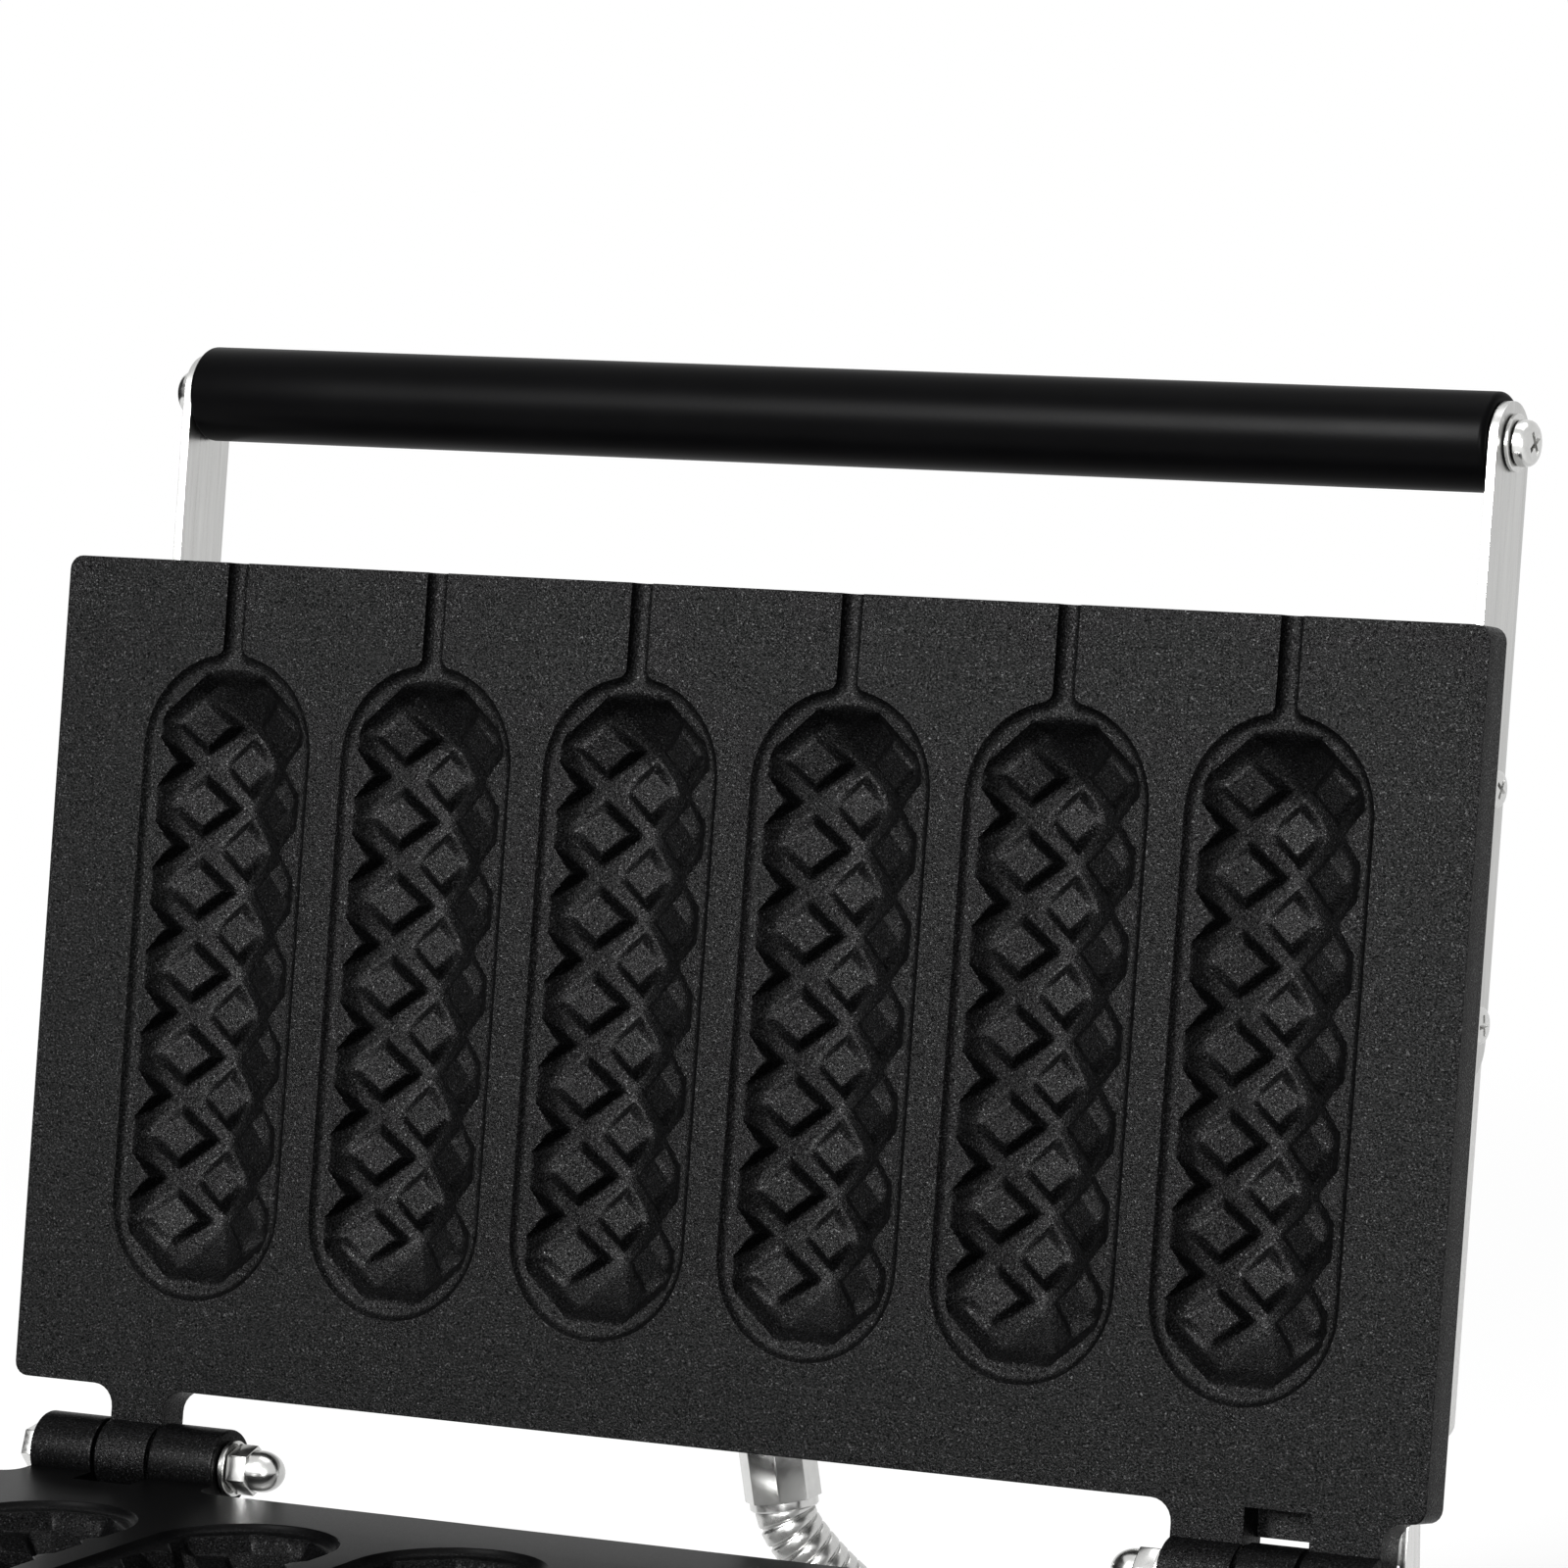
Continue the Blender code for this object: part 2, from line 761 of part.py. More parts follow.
# A smooth line through points, whose first and last stretches are straight
def smooth_line(points):
    points = [Vector(point) for point in points]
    slopes = []
    for index, point in enumerate(points):
        before = points[max(index - 1, 0)]
        after = points[min(index + 1, len(points) - 1)]
        slopes.append((after - before).normalized())
    slopes[1], slopes[-2] = slopes[0], slopes[-1]
    line = []
    for index in range(len(points) - 1):
        start, end = points[index], points[index + 1]
        third = (end - start).length / 3
        handles = (start + slopes[index] * third, end - slopes[index + 1] * third)
        line += interpolate_bezier(start, *handles, end, round_steps)[:-1]
    return line + [points[-1]]


def point_along(line, distance):
    for start, end in zip(line, line[1:]):
        step = (end - start).length
        if distance <= step:
            return start.lerp(end, distance / step)
        distance -= step
    return line[-1]


def line_length(line):
    return sum((end - start).length for start, end in zip(line, line[1:]))


# A tube through points, each with its own share of the radius, as a mesh
def tube_mesh(name, points, shares, radius):
    curve = bpy.data.curves.new(name, "CURVE")
    curve.dimensions = "3D"
    curve.bevel_depth = radius
    curve.bevel_resolution = 2
    curve.use_fill_caps = True
    spline = curve.splines.new("POLY")
    spline.points.add(len(points) - 1)
    for spot, point, share in zip(spline.points, points, shares):
        spot.co = (*point, 1)
        spot.radius = share
    guide = bpy.data.objects.new(name, curve)
    bpy.context.scene.collection.objects.link(guide)
    bpy.context.view_layer.update()
    evaluated = guide.evaluated_get(bpy.context.evaluated_depsgraph_get())
    bm = bmesh.new()
    bm.from_mesh(evaluated.to_mesh())
    bpy.data.objects.remove(guide, do_unlink=True)
    bmesh.ops.remove_doubles(bm, verts=bm.verts, dist=small_step / round_steps)
    bmesh.ops.recalc_face_normals(bm, faces=bm.faces)
    return bm


# Heating set on the back of one casting: element, clamp plate and insulation
def heater_line():
    half_width, half_length = heater_width / 2, heater_length / 2
    rear = plate_middle + half_length
    front = plate_middle - half_length
    corners = [
        (-heater_opening / 2, rear, 0),
        (-half_width, rear, heater_bend),
        (-half_width, front, heater_bend),
        (half_width, front, heater_bend),
        (half_width, rear, heater_bend),
        (heater_opening / 2, rear, 0),
    ]
    return [(point.x, point.y, -heater_depth) for point in rounded(corners)]


def make_heating(prefix, frame):
    line = heater_line()
    element = tube_mesh(f"{prefix}_heater", line, [1] * len(line), heater_radius)
    add_object(f"{prefix}_heater", element, "element", frame)
    outline = rectangle(clamp_width, clamp_length, 0, (0, plate_middle))
    clamp = prism(outline, -(clamp_depth + clamp_thickness), -clamp_depth)
    add_object(f"{prefix}_heater_clamp", clamp, "sheet", frame)
    wool = prism(outline, -(post_end - gap), -wool_depth)
    add_object(f"{prefix}_insulation", wool, "wool", frame)


# Lid: casting, heating, cover, arms, grip and ferrule
def make_lid():
    make_plate("upper_plate", upper_frame, -upper_face, -1)
    make_heating("upper", upper_frame)
    cover = add_shell(
        "lid_cover",
        (-cover_width / 2, -cover_front, rim_thickness - upper_face + gap),
        (cover_width / 2, -cover_rear, cover_top),
        cover_sheet,
        cover_corner,
        "sheet",
        lid_frame,
    )
    holes = bmesh.new()
    for x, y in post_places():
        radius = cover_screw[0] + screw_clearance
        low, high = (x, y, cover_inside - overrun), (x, y, cover_top + overrun)
        add_rod(holes, radius, low, high, screw_steps)
    for side in (-1, 1):
        for place in arm_screw_places:
            inner = side * (cover_width / 2 - cover_sheet - overrun)
            outer = side * (cover_width / 2 + overrun)
            radius = arm_screw[0] + screw_clearance
            ends = (inner, -place, arm_height), (outer, -place, arm_height)
            add_rod(holes, radius, *ends, screw_steps)
    stub_hole = ferrule_stub_radius + screw_clearance
    rear = -cover_rear - cover_sheet - overrun
    add_rod(holes, stub_hole, (0, rear, ferrule_place), (0, overrun - cover_rear, ferrule_place))
    combine(cover, holes)
    for index, (x, y) in enumerate(post_places()):
        place = (x, y, cover_top + gap)
        pan_screw(f"cover_screw_{index + 1}", lid_frame, place, upright, cover_screw, False)
    for side, name, turn in ((-1, "left", to_left), (1, "right", to_right)):
        make_arm(side, name, turn)
    make_grip()
    make_ferrule()


def make_arm(side, name, turn):
    radius = arm_width / 2
    outline = []
    half_turn = round_steps // 2
    for centre, start in ((-arm_start - radius, -math.pi / 2), (-grip_reach, math.pi / 2)):
        for step in range(half_turn + 1):
            angle = start + math.pi * step / half_turn
            outline.append(
                (centre + radius * math.cos(angle), arm_height + radius * math.sin(angle))
            )
    low, high = sorted((side * arm_inner, side * arm_outer))
    arm = add_object(f"handle_arm_{name}", prism(outline, low, high, side_plane), "steel", lid_frame)
    holes = bmesh.new()
    for place, screw in [(spot, arm_screw) for spot in arm_screw_places] + [
        (grip_reach, grip_screw)
    ]:
        start = (low - overrun, -place, arm_height)
        end = (high + overrun, -place, arm_height)
        add_rod(holes, screw[0] + screw_clearance, start, end, screw_steps)
    combine(arm, holes)
    for index, place in enumerate(arm_screw_places):
        spot = (side * (arm_outer + gap), -place, arm_height)
        pan_screw(f"arm_screw_{name}_{index + 1}", lid_frame, spot, turn, arm_screw, True)
    spot = (side * (arm_outer + gap), -grip_reach, arm_height)
    hole = grip_screw[0] + screw_clearance
    washer(
        f"handle_washer_{name}", lid_frame, spot, turn, grip_washer_radius, hole, grip_washer_thickness
    )
    spot = (side * (arm_outer + gap + grip_washer_thickness + gap), -grip_reach, arm_height)
    pan_screw(f"handle_screw_{name}", lid_frame, spot, turn, grip_screw, True)


def make_grip():
    half = arm_inner - gap
    profile = (
        (0, -half),
        (grip_radius - grip_end_round, -half),
        (grip_radius, grip_end_round - half),
        (grip_radius, half - grip_end_round),
        (grip_radius - grip_end_round, half),
        (0, half),
    )
    place = (0, -grip_reach, arm_height)
    bar = turned(profile, fine_round_steps)
    grip = add_object("handle_grip", bar, "black_plastic", lid_frame, place, to_right)
    bores = bmesh.new()
    for end in (-1, 1):
        start = (0, 0, end * (half - grip_bore_depth))
        out = (0, 0, end * (half + overrun))
        add_rod(bores, grip_screw[0] + screw_clearance, start, out, screw_steps)
    combine(grip, bores)


# The conduit's ferrule on the lid: built along its own axis, which leans from the cover's wall
ferrule_seat = Vector((0, -cover_rear + gap, ferrule_place))
ferrule_lean = Euler((-math.pi / 2 + ferrule_lean_back, 0, -ferrule_lean_side))


def make_ferrule():
    stub_in = -(cover_sheet + gap + ferrule_stub_length)
    turn = ferrule_lean
    body = bmesh.new()
    radius = octagon_radius(ferrule_flats)
    sleeve_end = ferrule_length - ferrule_collar_length
    lean = math.sin(ferrule_lean_back) + math.sin(ferrule_lean_side)
    add_rod(body, radius, (0, 0, radius * lean), (0, 0, sleeve_end), ferrule_sides)
    ferrule = add_object("conduit_lid_ferrule", body, "steel", lid_frame, ferrule_seat, turn)
    collar = bmesh.new()
    add_rod(collar, ferrule_collar_radius, (0, 0, sleeve_end - sink), (0, 0, ferrule_length))
    combine(ferrule, collar, "UNION")
    flange = bmesh.new()
    depth = 2 * radius * lean
    add_rod(flange, ferrule_collar_radius, (0, 0, 0), (0, 0, depth))
    combine(ferrule, flange, "UNION", ferrule_seat, to_rear)
    stub = bmesh.new()
    add_rod(stub, ferrule_stub_radius, (0, 0, stub_in), (0, 0, depth / 2))
    combine(ferrule, stub, "UNION", ferrule_seat, to_rear)
    bore = bmesh.new()
    start = ferrule_length - 2 * hose_radius - gap
    add_rod(bore, hose_groove_radius + gap, (0, 0, start), (0, 0, ferrule_length + overrun))
    combine(ferrule, bore)
    way = bmesh.new()
    add_rod(way, hose_bore_radius, (0, 0, stub_in - overrun), (0, 0, start + sink), screw_steps)
    combine(ferrule, way)


def ferrule_axis():
    to_base = Matrix.Rotation(-open_angle, 3, "X")
    along = to_base @ (ferrule_lean.to_matrix() @ Vector((0, 0, 1)))
    seat = to_base @ ferrule_seat
    return seat + along * ferrule_length, along


# Conduit: a ribbed hose with its bore, straight where it enters the ferrule and the fitting
def make_hose():
    ferrule_end, along = ferrule_axis()
    straight = 2 * hose_radius
    fitting_end = Vector((fitting_side, rear_reach + gap + fitting_length, -fitting_drop))
    into_fitting = Vector((0, -1, 0))
    points = [ferrule_end - along * straight, ferrule_end]
    points += [
        Vector((across * fitting_side, back * hose_reach, down * fitting_drop))
        for across, back, down in hose_route_shares
    ]
    points += [fitting_end - into_fitting * straight, fitting_end]
    points.append(fitting_end + into_fitting * straight)
    line = smooth_line(points)
    length = line_length(line)
    ribs = int((length - 2 * straight) / hose_rib_pitch)
    pitch = (length - 2 * straight) / ribs
    groove = hose_groove_radius / hose_radius
    places = [(0, groove), (straight, groove)]
    for rib in range(ribs):
        places.append((straight + pitch * (rib + 0.5), 1))
        places.append((straight + pitch * (rib + 1), groove))
    places.append((length, groove))
    outer = [point_along(line, distance) for distance, _ in places]
    hose_shape = tube_mesh("conduit_hose", outer, [share for _, share in places], hose_radius)
    hose = add_object("conduit_hose", hose_shape, "steel", base_frame)
    steps = int(length / straight * 2)
    inner = [point_along(line, length * step / steps) for step in range(steps + 1)]
    inner[0] -= along * overrun
    inner[-1] += into_fitting * overrun
    combine(hose, tube_mesh("hose_bore", inner, [1] * len(inner), hose_bore_radius))


# Hinges: a bolt, a washer and a domed nut on each side
def make_hinges():
    sides = ((-1, "left", to_left, to_right), (1, "right", to_right, to_left))
    for side, name, outward, inward in sides:
        seat = hinge_outer + gap
        washer_seat = inner_lug[0] - gap
        nut_seat = washer_seat - washer_thickness - gap
        bolt = bmesh.new()
        head = hex_radius(hex_across_flats)
        add_rod(bolt, head, (0, 0, 0), (0, 0, hex_head_height), hex_sides)
        made = add_object(f"hinge_bolt_{name}", bolt, "steel", base_frame, (side * seat, 0, 0), outward)
        shank = bmesh.new()
        end = nut_seat - bolt_end_depth
        add_rod(shank, hinge_bolt_radius, (0, 0, end - seat), (0, 0, sink))
        combine(made, shank, "UNION")
        place = (side * washer_seat, 0, 0)
        hole = hinge_bolt_radius + hinge_bore_clearance
        size = (hinge_washer_radius, hole, washer_thickness)
        washer(f"hinge_washer_{name}", base_frame, place, inward, *size)
        nut = bmesh.new()
        add_rod(nut, head, (0, 0, 0), (0, 0, nut_height), hex_sides)
        place = (side * nut_seat, 0, 0)
        made = add_object(f"hinge_nut_{name}", nut, "steel", base_frame, place, inward)
        straight = nut_length - nut_dome_radius
        profile = [(0, nut_height - sink), (nut_dome_radius, nut_height - sink)]
        for step in range(5):
            angle = math.pi / 2 * step / 4
            height = straight + nut_dome_radius * math.sin(angle)
            profile.append((nut_dome_radius * math.cos(angle), height))
        profile[-1] = (0, nut_length)
        combine(made, turned(profile), "UNION")
        blind = bmesh.new()
        add_rod(blind, hole, (0, 0, -overrun), (0, 0, bolt_end_depth + hinge_bore_clearance))
        combine(made, blind)


# Base housing and what closes it
def wall_hole(bm, radius, x, z, wall):
    depth = housing_sheet + overrun
    add_rod(bm, radius, (x, wall - depth, z), (x, wall + depth, z))


# The round holes behind the controls, in the housing's front and in the panel
def front_holes(side):
    return (
        (shaft_radius + core_clearance, side * control_spread, control_height + ground),
        (lamp_radius + screw_clearance, side * lamp_spread, lamp_height + ground),
    )


def make_housing():
    half = housing_width / 2
    housing = add_shell(
        "base_housing",
        (-half, housing_front, housing_low),
        (half, rear_reach, housing_top),
        housing_sheet,
        housing_corner,
        "sheet",
        base_frame,
    )
    holes = bmesh.new()
    core_half = core_width / 2 + core_clearance
    core_end = plate_depth / 2 - core_inset + core_clearance
    add_box(
        holes,
        (-core_half, plate_middle - core_end, housing_top - housing_sheet - overrun),
        (core_half, plate_middle + core_end, housing_top + overrun),
    )
    for side in (-1, 1):
        for radius, x, height in front_holes(side):
            wall_hole(holes, radius, x, height, housing_front)
    add_box(holes, *switch_hole(housing_front - overrun, housing_front + housing_sheet + overrun))
    wall_hole(holes, gland_radius + screw_clearance, gland_side, gland_height + ground, rear_reach)
    wall_hole(holes, ferrule_stub_radius + screw_clearance, fitting_side, -fitting_drop, rear_reach)
    middle = louvre_middle_height + ground
    for side in (-1, 1):
        inner, outer = sorted((side * (half - housing_sheet - overrun), side * (half + overrun)))
        for index in range(louvre_count):
            y = plate_middle + (index - (louvre_count - 1) / 2) * louvre_pitch
            low = (inner, y - louvre_width / 2, middle - louvre_height / 2)
            add_box(holes, low, (outer, y + louvre_width / 2, middle + louvre_height / 2))
    for y, z in bracket_screw_places():
        radius = bracket_screw[0] + screw_clearance
        start = (half - housing_sheet - overrun, y, z)
        add_rod(holes, radius, start, (half + overrun, y, z), screw_steps)
    combine(housing, holes)


def foot_places():
    half = housing_width / 2 - foot_inset_side
    return [
        (side * half, y)
        for side in (-1, 1)
        for y in (housing_front + foot_inset_end, rear_reach - foot_inset_end)
    ]


def make_bottom():
    half = housing_width / 2 - housing_sheet - gap
    front = housing_front + housing_sheet + gap
    rear = rear_reach - housing_sheet - gap
    corner = housing_corner - housing_sheet
    outline = rectangle(2 * half, rear - front, corner, (0, (rear + front) / 2))
    low = housing_low
    cover = add_object(
        "base_bottom_cover", prism(outline, low, low + housing_sheet), "sheet", base_frame
    )
    holes = bmesh.new()
    for x, y in foot_places():
        radius = foot_stem_radius + screw_clearance
        end = (x, y, low + housing_sheet + overrun)
        add_rod(holes, radius, (x, y, low - overrun), end, screw_steps)
    for index in range(vent_count):
        x = (index - (vent_count - 1) / 2) * vent_pitch
        start = (x - vent_width / 2, plate_middle - vent_length / 2, low - overrun)
        end = (x + vent_width / 2, plate_middle + vent_length / 2, low + housing_sheet + overrun)
        add_box(holes, start, end)
    combine(cover, holes)
    ends = ("front", "rear")
    for index, (x, y) in enumerate(foot_places()):
        name = f"foot_{ends[index % 2]}_{'left' if x < 0 else 'right'}"
        profile = (
            (0, 0),
            (foot_radius - foot_taper, 0),
            (foot_radius, foot_height),
            (foot_stem_radius, foot_height),
            (foot_stem_radius, foot_height + foot_stem_length),
            (0, foot_height + foot_stem_length),
        )
        add_object(name, turned(profile), "rubber", base_frame, (x, y, ground))
    block_rear = rear_reach - terminal_reach
    floor = low + housing_sheet + gap
    block = bmesh.new()
    add_box(
        block,
        (gland_side - terminal_length / 2, block_rear - terminal_width, floor),
        (gland_side + terminal_length / 2, block_rear, floor + terminal_height),
    )
    made = add_object("terminal_block", block, "white_ceramic", base_frame)
    holes = bmesh.new()
    for index in (-1, 0, 1):
        x = gland_side + index * terminal_pitch
        z = floor + terminal_height / 2
        ends = (x, block_rear - terminal_width - overrun, z), (x, block_rear + overrun, z)
        add_rod(holes, terminal_hole_radius, *ends, screw_steps)
    combine(made, holes)


# Tray that carries the lower insulation and holds the casting's posts
def make_tray():
    top = -(face_drop + post_end + gap)
    half = housing_width / 2 - housing_sheet - gap
    reach = clamp_length / 2
    bm = bmesh.new()
    outline = [
        (-half, top),
        (-half, top - tray_flange),
        (housing_sheet - half, top - tray_flange),
        (housing_sheet - half, top - housing_sheet),
        (half - housing_sheet, top - housing_sheet),
        (half - housing_sheet, top - tray_flange),
        (half, top - tray_flange),
        (half, top),
    ]
    add_prism(bm, outline, -reach, reach, Matrix.Rotation(math.radians(90), 4, "X"))
    tray = add_object("lower_heat_shield", bm, "sheet", base_frame, (0, plate_middle, 0))
    holes = bmesh.new()
    for x, y in post_places():
        radius = cover_screw[0] + screw_clearance
        spot = y - plate_middle
        start = (x, spot, top - housing_sheet - overrun)
        add_rod(holes, radius, start, (x, spot, top + overrun), screw_steps)
    combine(tray, holes)
    below = (math.pi, 0, 0)
    for index, (x, y) in enumerate(post_places()):
        place = (x, y, top - housing_sheet - gap)
        pan_screw(f"shield_screw_{index + 1}", base_frame, place, below, cover_screw, False)


# Controls. Pieces on the front are built along +Z, which points to the front
def switch_hole(front, back):
    half_width = rocker_width / 2 + gap + switch_wall + gap
    half_height = rocker_height / 2 + rocker_slack + switch_wall + gap
    middle = switch_height + ground
    return (-half_width, front, middle - half_height), (half_width, back, middle + half_height)


def make_panel():
    outline = rectangle(panel_width, panel_height, panel_corner, (0, panel_middle + ground))
    place = (0, housing_front - gap, 0)
    sheet = prism(outline, 0, panel_thickness)
    panel = add_object("control_panel", sheet, "panel", base_frame, place, to_front)
    holes = bmesh.new()
    for side in (-1, 1):
        for radius, x, height in front_holes(side):
            add_rod(holes, radius, (x, height, -overrun), (x, height, panel_thickness + overrun))
    low, high = switch_hole(-overrun, panel_thickness + overrun)
    add_box(holes, (low[0], low[2], low[1]), (high[0], high[2], high[1]))
    combine(panel, holes)


def make_control(name, side, width, height, depth):
    back = housing_front + housing_sheet + gap
    middle = control_height + ground
    shell = bmesh.new()
    add_box(shell, (-width / 2, -height / 2, -depth), (width / 2, height / 2, 0))
    place = (side * control_spread, back, middle)
    body = add_object(f"{name}_body", shell, "white_ceramic", base_frame, place, to_front)
    shaft = bmesh.new()
    tip = back - panel_face + gap + shaft_length
    add_rod(shaft, shaft_radius, (0, 0, -sink), (0, 0, tip), screw_steps)
    combine(body, shaft, "UNION")
    profile = (
        (0, 0),
        (knob_radius, 0),
        (knob_radius, knob_skirt_height),
        (knob_grip_radius, knob_skirt_height + pointer_rise),
        (knob_grip_radius, knob_height - pointer_rise * 2),
        (knob_grip_radius - pointer_rise, knob_height - pointer_rise),
        (0, knob_height - pointer_rise),
    )
    place = (side * control_spread, panel_face - gap, middle)
    knob = add_object(
        f"{name}_knob", turned(profile, fine_round_steps), "black_plastic", base_frame, place, to_front
    )
    pointer = bmesh.new()
    low = (-pointer_width / 2, 0, knob_height - pointer_rise - sink)
    add_box(pointer, low, (pointer_width / 2, knob_grip_radius - pointer_rise * 2, knob_height))
    combine(knob, pointer, "UNION")
    bore = bmesh.new()
    add_rod(bore, shaft_radius + gap, (0, 0, -overrun), (0, 0, shaft_length + gap), screw_steps)
    combine(knob, bore)


def make_lamp(name, side, finish):
    inside = panel_face - housing_front
    profile = (
        (0, inside - lamp_length),
        (lamp_radius, inside - lamp_length),
        (lamp_radius, 0),
        (lamp_flange_radius, 0),
        (lamp_flange_radius, lamp_flange),
        (lamp_radius, lamp_flange),
        (lamp_radius * dome_top_share, lamp_flange + lamp_radius * dome_share),
        (0, lamp_flange + lamp_radius * dome_top_share),
    )
    place = (side * lamp_spread, panel_face - gap, lamp_height + ground)
    add_object(name, turned(profile), finish, base_frame, place, to_front)


# Rocker switch: a bezel and body with a well, and a rocker that tilts about its middle
def make_switch():
    place = (0, panel_face - gap, switch_height + ground)
    outer_x = rocker_width / 2 + gap + switch_wall
    outer_y = rocker_height / 2 + rocker_slack + switch_wall
    shell = bmesh.new()
    low = (-bezel_width / 2, -bezel_height / 2, 0)
    add_box(shell, low, (bezel_width / 2, bezel_height / 2, bezel_thickness))
    body = add_object("switch_body", shell, "black_plastic", base_frame, place, to_front)
    case = bmesh.new()
    add_box(case, (-outer_x, -outer_y, -switch_depth), (outer_x, outer_y, sink))
    combine(body, case, "UNION")
    well = bmesh.new()
    well_x = rocker_width / 2 + gap
    well_y = rocker_height / 2 + rocker_slack
    add_box(well, (-well_x, -well_y, -switch_well), (well_x, well_y, bezel_thickness + overrun))
    combine(body, well)
    half = rocker_height / 2
    outline = [
        (-half, -rocker_back),
        (0, -rocker_back - rocker_dip),
        (half, -rocker_back),
        (half, rocker_rise),
        (0, rocker_rise - rocker_dip),
        (-half, rocker_rise),
    ]
    tilt = Matrix.Rotation(rocker_tilt, 4, "X")
    shape = prism(outline, -rocker_width / 2, rocker_width / 2, tilt @ side_plane)
    spot = (0, place[1], place[2])
    add_object("switch_rocker", shape, "black_plastic", base_frame, spot, to_front)


# Rear fittings, built along +Z, which points to the back
def make_rear_fittings():
    place = (gland_side, rear_reach + gap, gland_height + ground)
    body = bmesh.new()
    add_rod(body, hex_radius(gland_hex_flats), (0, 0, 0), (0, 0, gland_hex_height), hex_sides)
    gland = add_object("cable_gland", body, "black_plastic", base_frame, place, to_rear)
    cap = bmesh.new()
    cap_radius = gland_hex_flats / 2 - sink
    ends = (0, 0, gland_hex_height - sink), (0, 0, gland_length)
    add_rod(cap, cap_radius, *ends, end_radius=gland_radius)
    combine(gland, cap, "UNION")
    thread = bmesh.new()
    add_rod(thread, gland_radius, (0, 0, -gland_thread_length), (0, 0, sink))
    combine(gland, thread, "UNION")
    bore = bmesh.new()
    ends = (0, 0, -gland_thread_length - overrun), (0, 0, gland_length + overrun)
    add_rod(bore, gland_bore_radius, *ends, screw_steps)
    combine(gland, bore)
    nut = bmesh.new()
    nut_front = -(gap + housing_sheet + gap)
    ends = (0, 0, nut_front - nut_height), (0, 0, nut_front)
    add_rod(nut, hex_radius(gland_hex_flats), *ends, hex_sides)
    lock = add_object("cable_gland_nut", nut, "black_plastic", base_frame, place, to_rear)
    hole = bmesh.new()
    add_rod(hole, gland_radius + gap, (0, 0, -gland_thread_length - overrun), (0, 0, 0))
    combine(lock, hole)
    place = (fitting_side, rear_reach + gap, -fitting_drop)
    body = bmesh.new()
    radius = octagon_radius(ferrule_flats)
    sleeve_end = fitting_length - ferrule_collar_length
    add_rod(body, radius, (0, 0, 0), (0, 0, sleeve_end), ferrule_sides)
    fitting = add_object("conduit_base_fitting", body, "steel", base_frame, place, to_rear)
    collar = bmesh.new()
    start = fitting_length - ferrule_collar_length - sink
    add_rod(collar, ferrule_collar_radius, (0, 0, start), (0, 0, fitting_length))
    combine(fitting, collar, "UNION")
    stub = bmesh.new()
    stub_in = -(gap + housing_sheet + ferrule_stub_length)
    add_rod(stub, ferrule_stub_radius, (0, 0, stub_in), (0, 0, sink))
    combine(fitting, stub, "UNION")
    bore = bmesh.new()
    start = fitting_length - 2 * hose_radius - gap
    add_rod(bore, hose_groove_radius + gap, (0, 0, start), (0, 0, fitting_length + overrun))
    combine(fitting, bore)
    way = bmesh.new()
    add_rod(way, hose_bore_radius, (0, 0, stub_in - overrun), (0, 0, start + sink), screw_steps)
    combine(fitting, way)


# Lid stop bracket: a web on the side wall that rises behind the open lid and ends in a lip
def open_lid_point(reach, behind):
    y = -reach * math.cos(open_angle) + behind * math.sin(open_angle)
    z = reach * math.sin(open_angle) + behind * math.cos(open_angle)
    return y, z


def bracket_screw_places():
    middle = (bracket_foot_low + bracket_foot_top) / 2
    step = (bracket_foot_low - bracket_foot_top) / 4
    front = -bracket_foot_front + bracket_screw[2] * 2
    return (front, step - middle), (rear_reach - bracket_screw[2] * 2, -step - middle)


def make_bracket():
    seat = rim_thickness - upper_face + gap  # behind the lid's rim, with the lid open
    inner = housing_width / 2 + gap
    around = hex_radius(hex_across_flats) + bolt_head_clearance
    top_back = open_lid_point(bracket_reach, bracket_back)
    top_front = open_lid_point(bracket_reach, seat)
    low_front = open_lid_point(lip_start, seat)
    outline = [
        (-bracket_foot_front, -bracket_foot_low),
        (rear_reach, -bracket_foot_low),
        (top_back[0], -bracket_foot_low / 2),
        top_back,
        top_front,
        low_front,
        (around, 0),
        (around / 2, -around),
        (0, -bracket_foot_top),
        (-bracket_foot_front, -bracket_foot_top),
    ]
    web = prism(outline, inner, inner + bracket_sheet, side_plane)
    bracket = add_object("lid_stop_bracket", web, "steel", base_frame)
    lip = [
        low_front,
        open_lid_point(lip_start, seat + bracket_sheet),
        open_lid_point(bracket_reach, seat + bracket_sheet),
        top_front,
    ]
    folded = prism(lip, inner + bracket_sheet - lip_width - bracket_sheet, inner + sink, side_plane)
    combine(bracket, folded, "UNION")
    holes = bmesh.new()
    for y, z in bracket_screw_places():
        radius = bracket_screw[0] + screw_clearance
        ends = (inner - overrun, y, z), (inner + bracket_sheet + overrun, y, z)
        add_rod(holes, radius, *ends, screw_steps)
    combine(bracket, holes)
    for index, (y, z) in enumerate(bracket_screw_places()):
        place = (inner + bracket_sheet + gap, y, z)
        pan_screw(f"bracket_screw_{index + 1}", base_frame, place, to_right, bracket_screw, False)


make_plate("lower_plate", lower_frame, face_drop, -1)
make_heating("lower", lower_frame)
make_lid()
make_hinges()
make_housing()
make_bottom()
make_tray()
make_panel()
make_control("timer", -1, timer_width, timer_height, timer_depth)
make_control("thermostat", 1, thermostat_width, thermostat_height, thermostat_depth)
make_lamp("power_lamp", -1, "green_lens")
make_lamp("heating_lamp", 1, "red_lens")
make_switch()
make_rear_fittings()
make_bracket()
make_hose()
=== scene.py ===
import math
from bisect import bisect_right

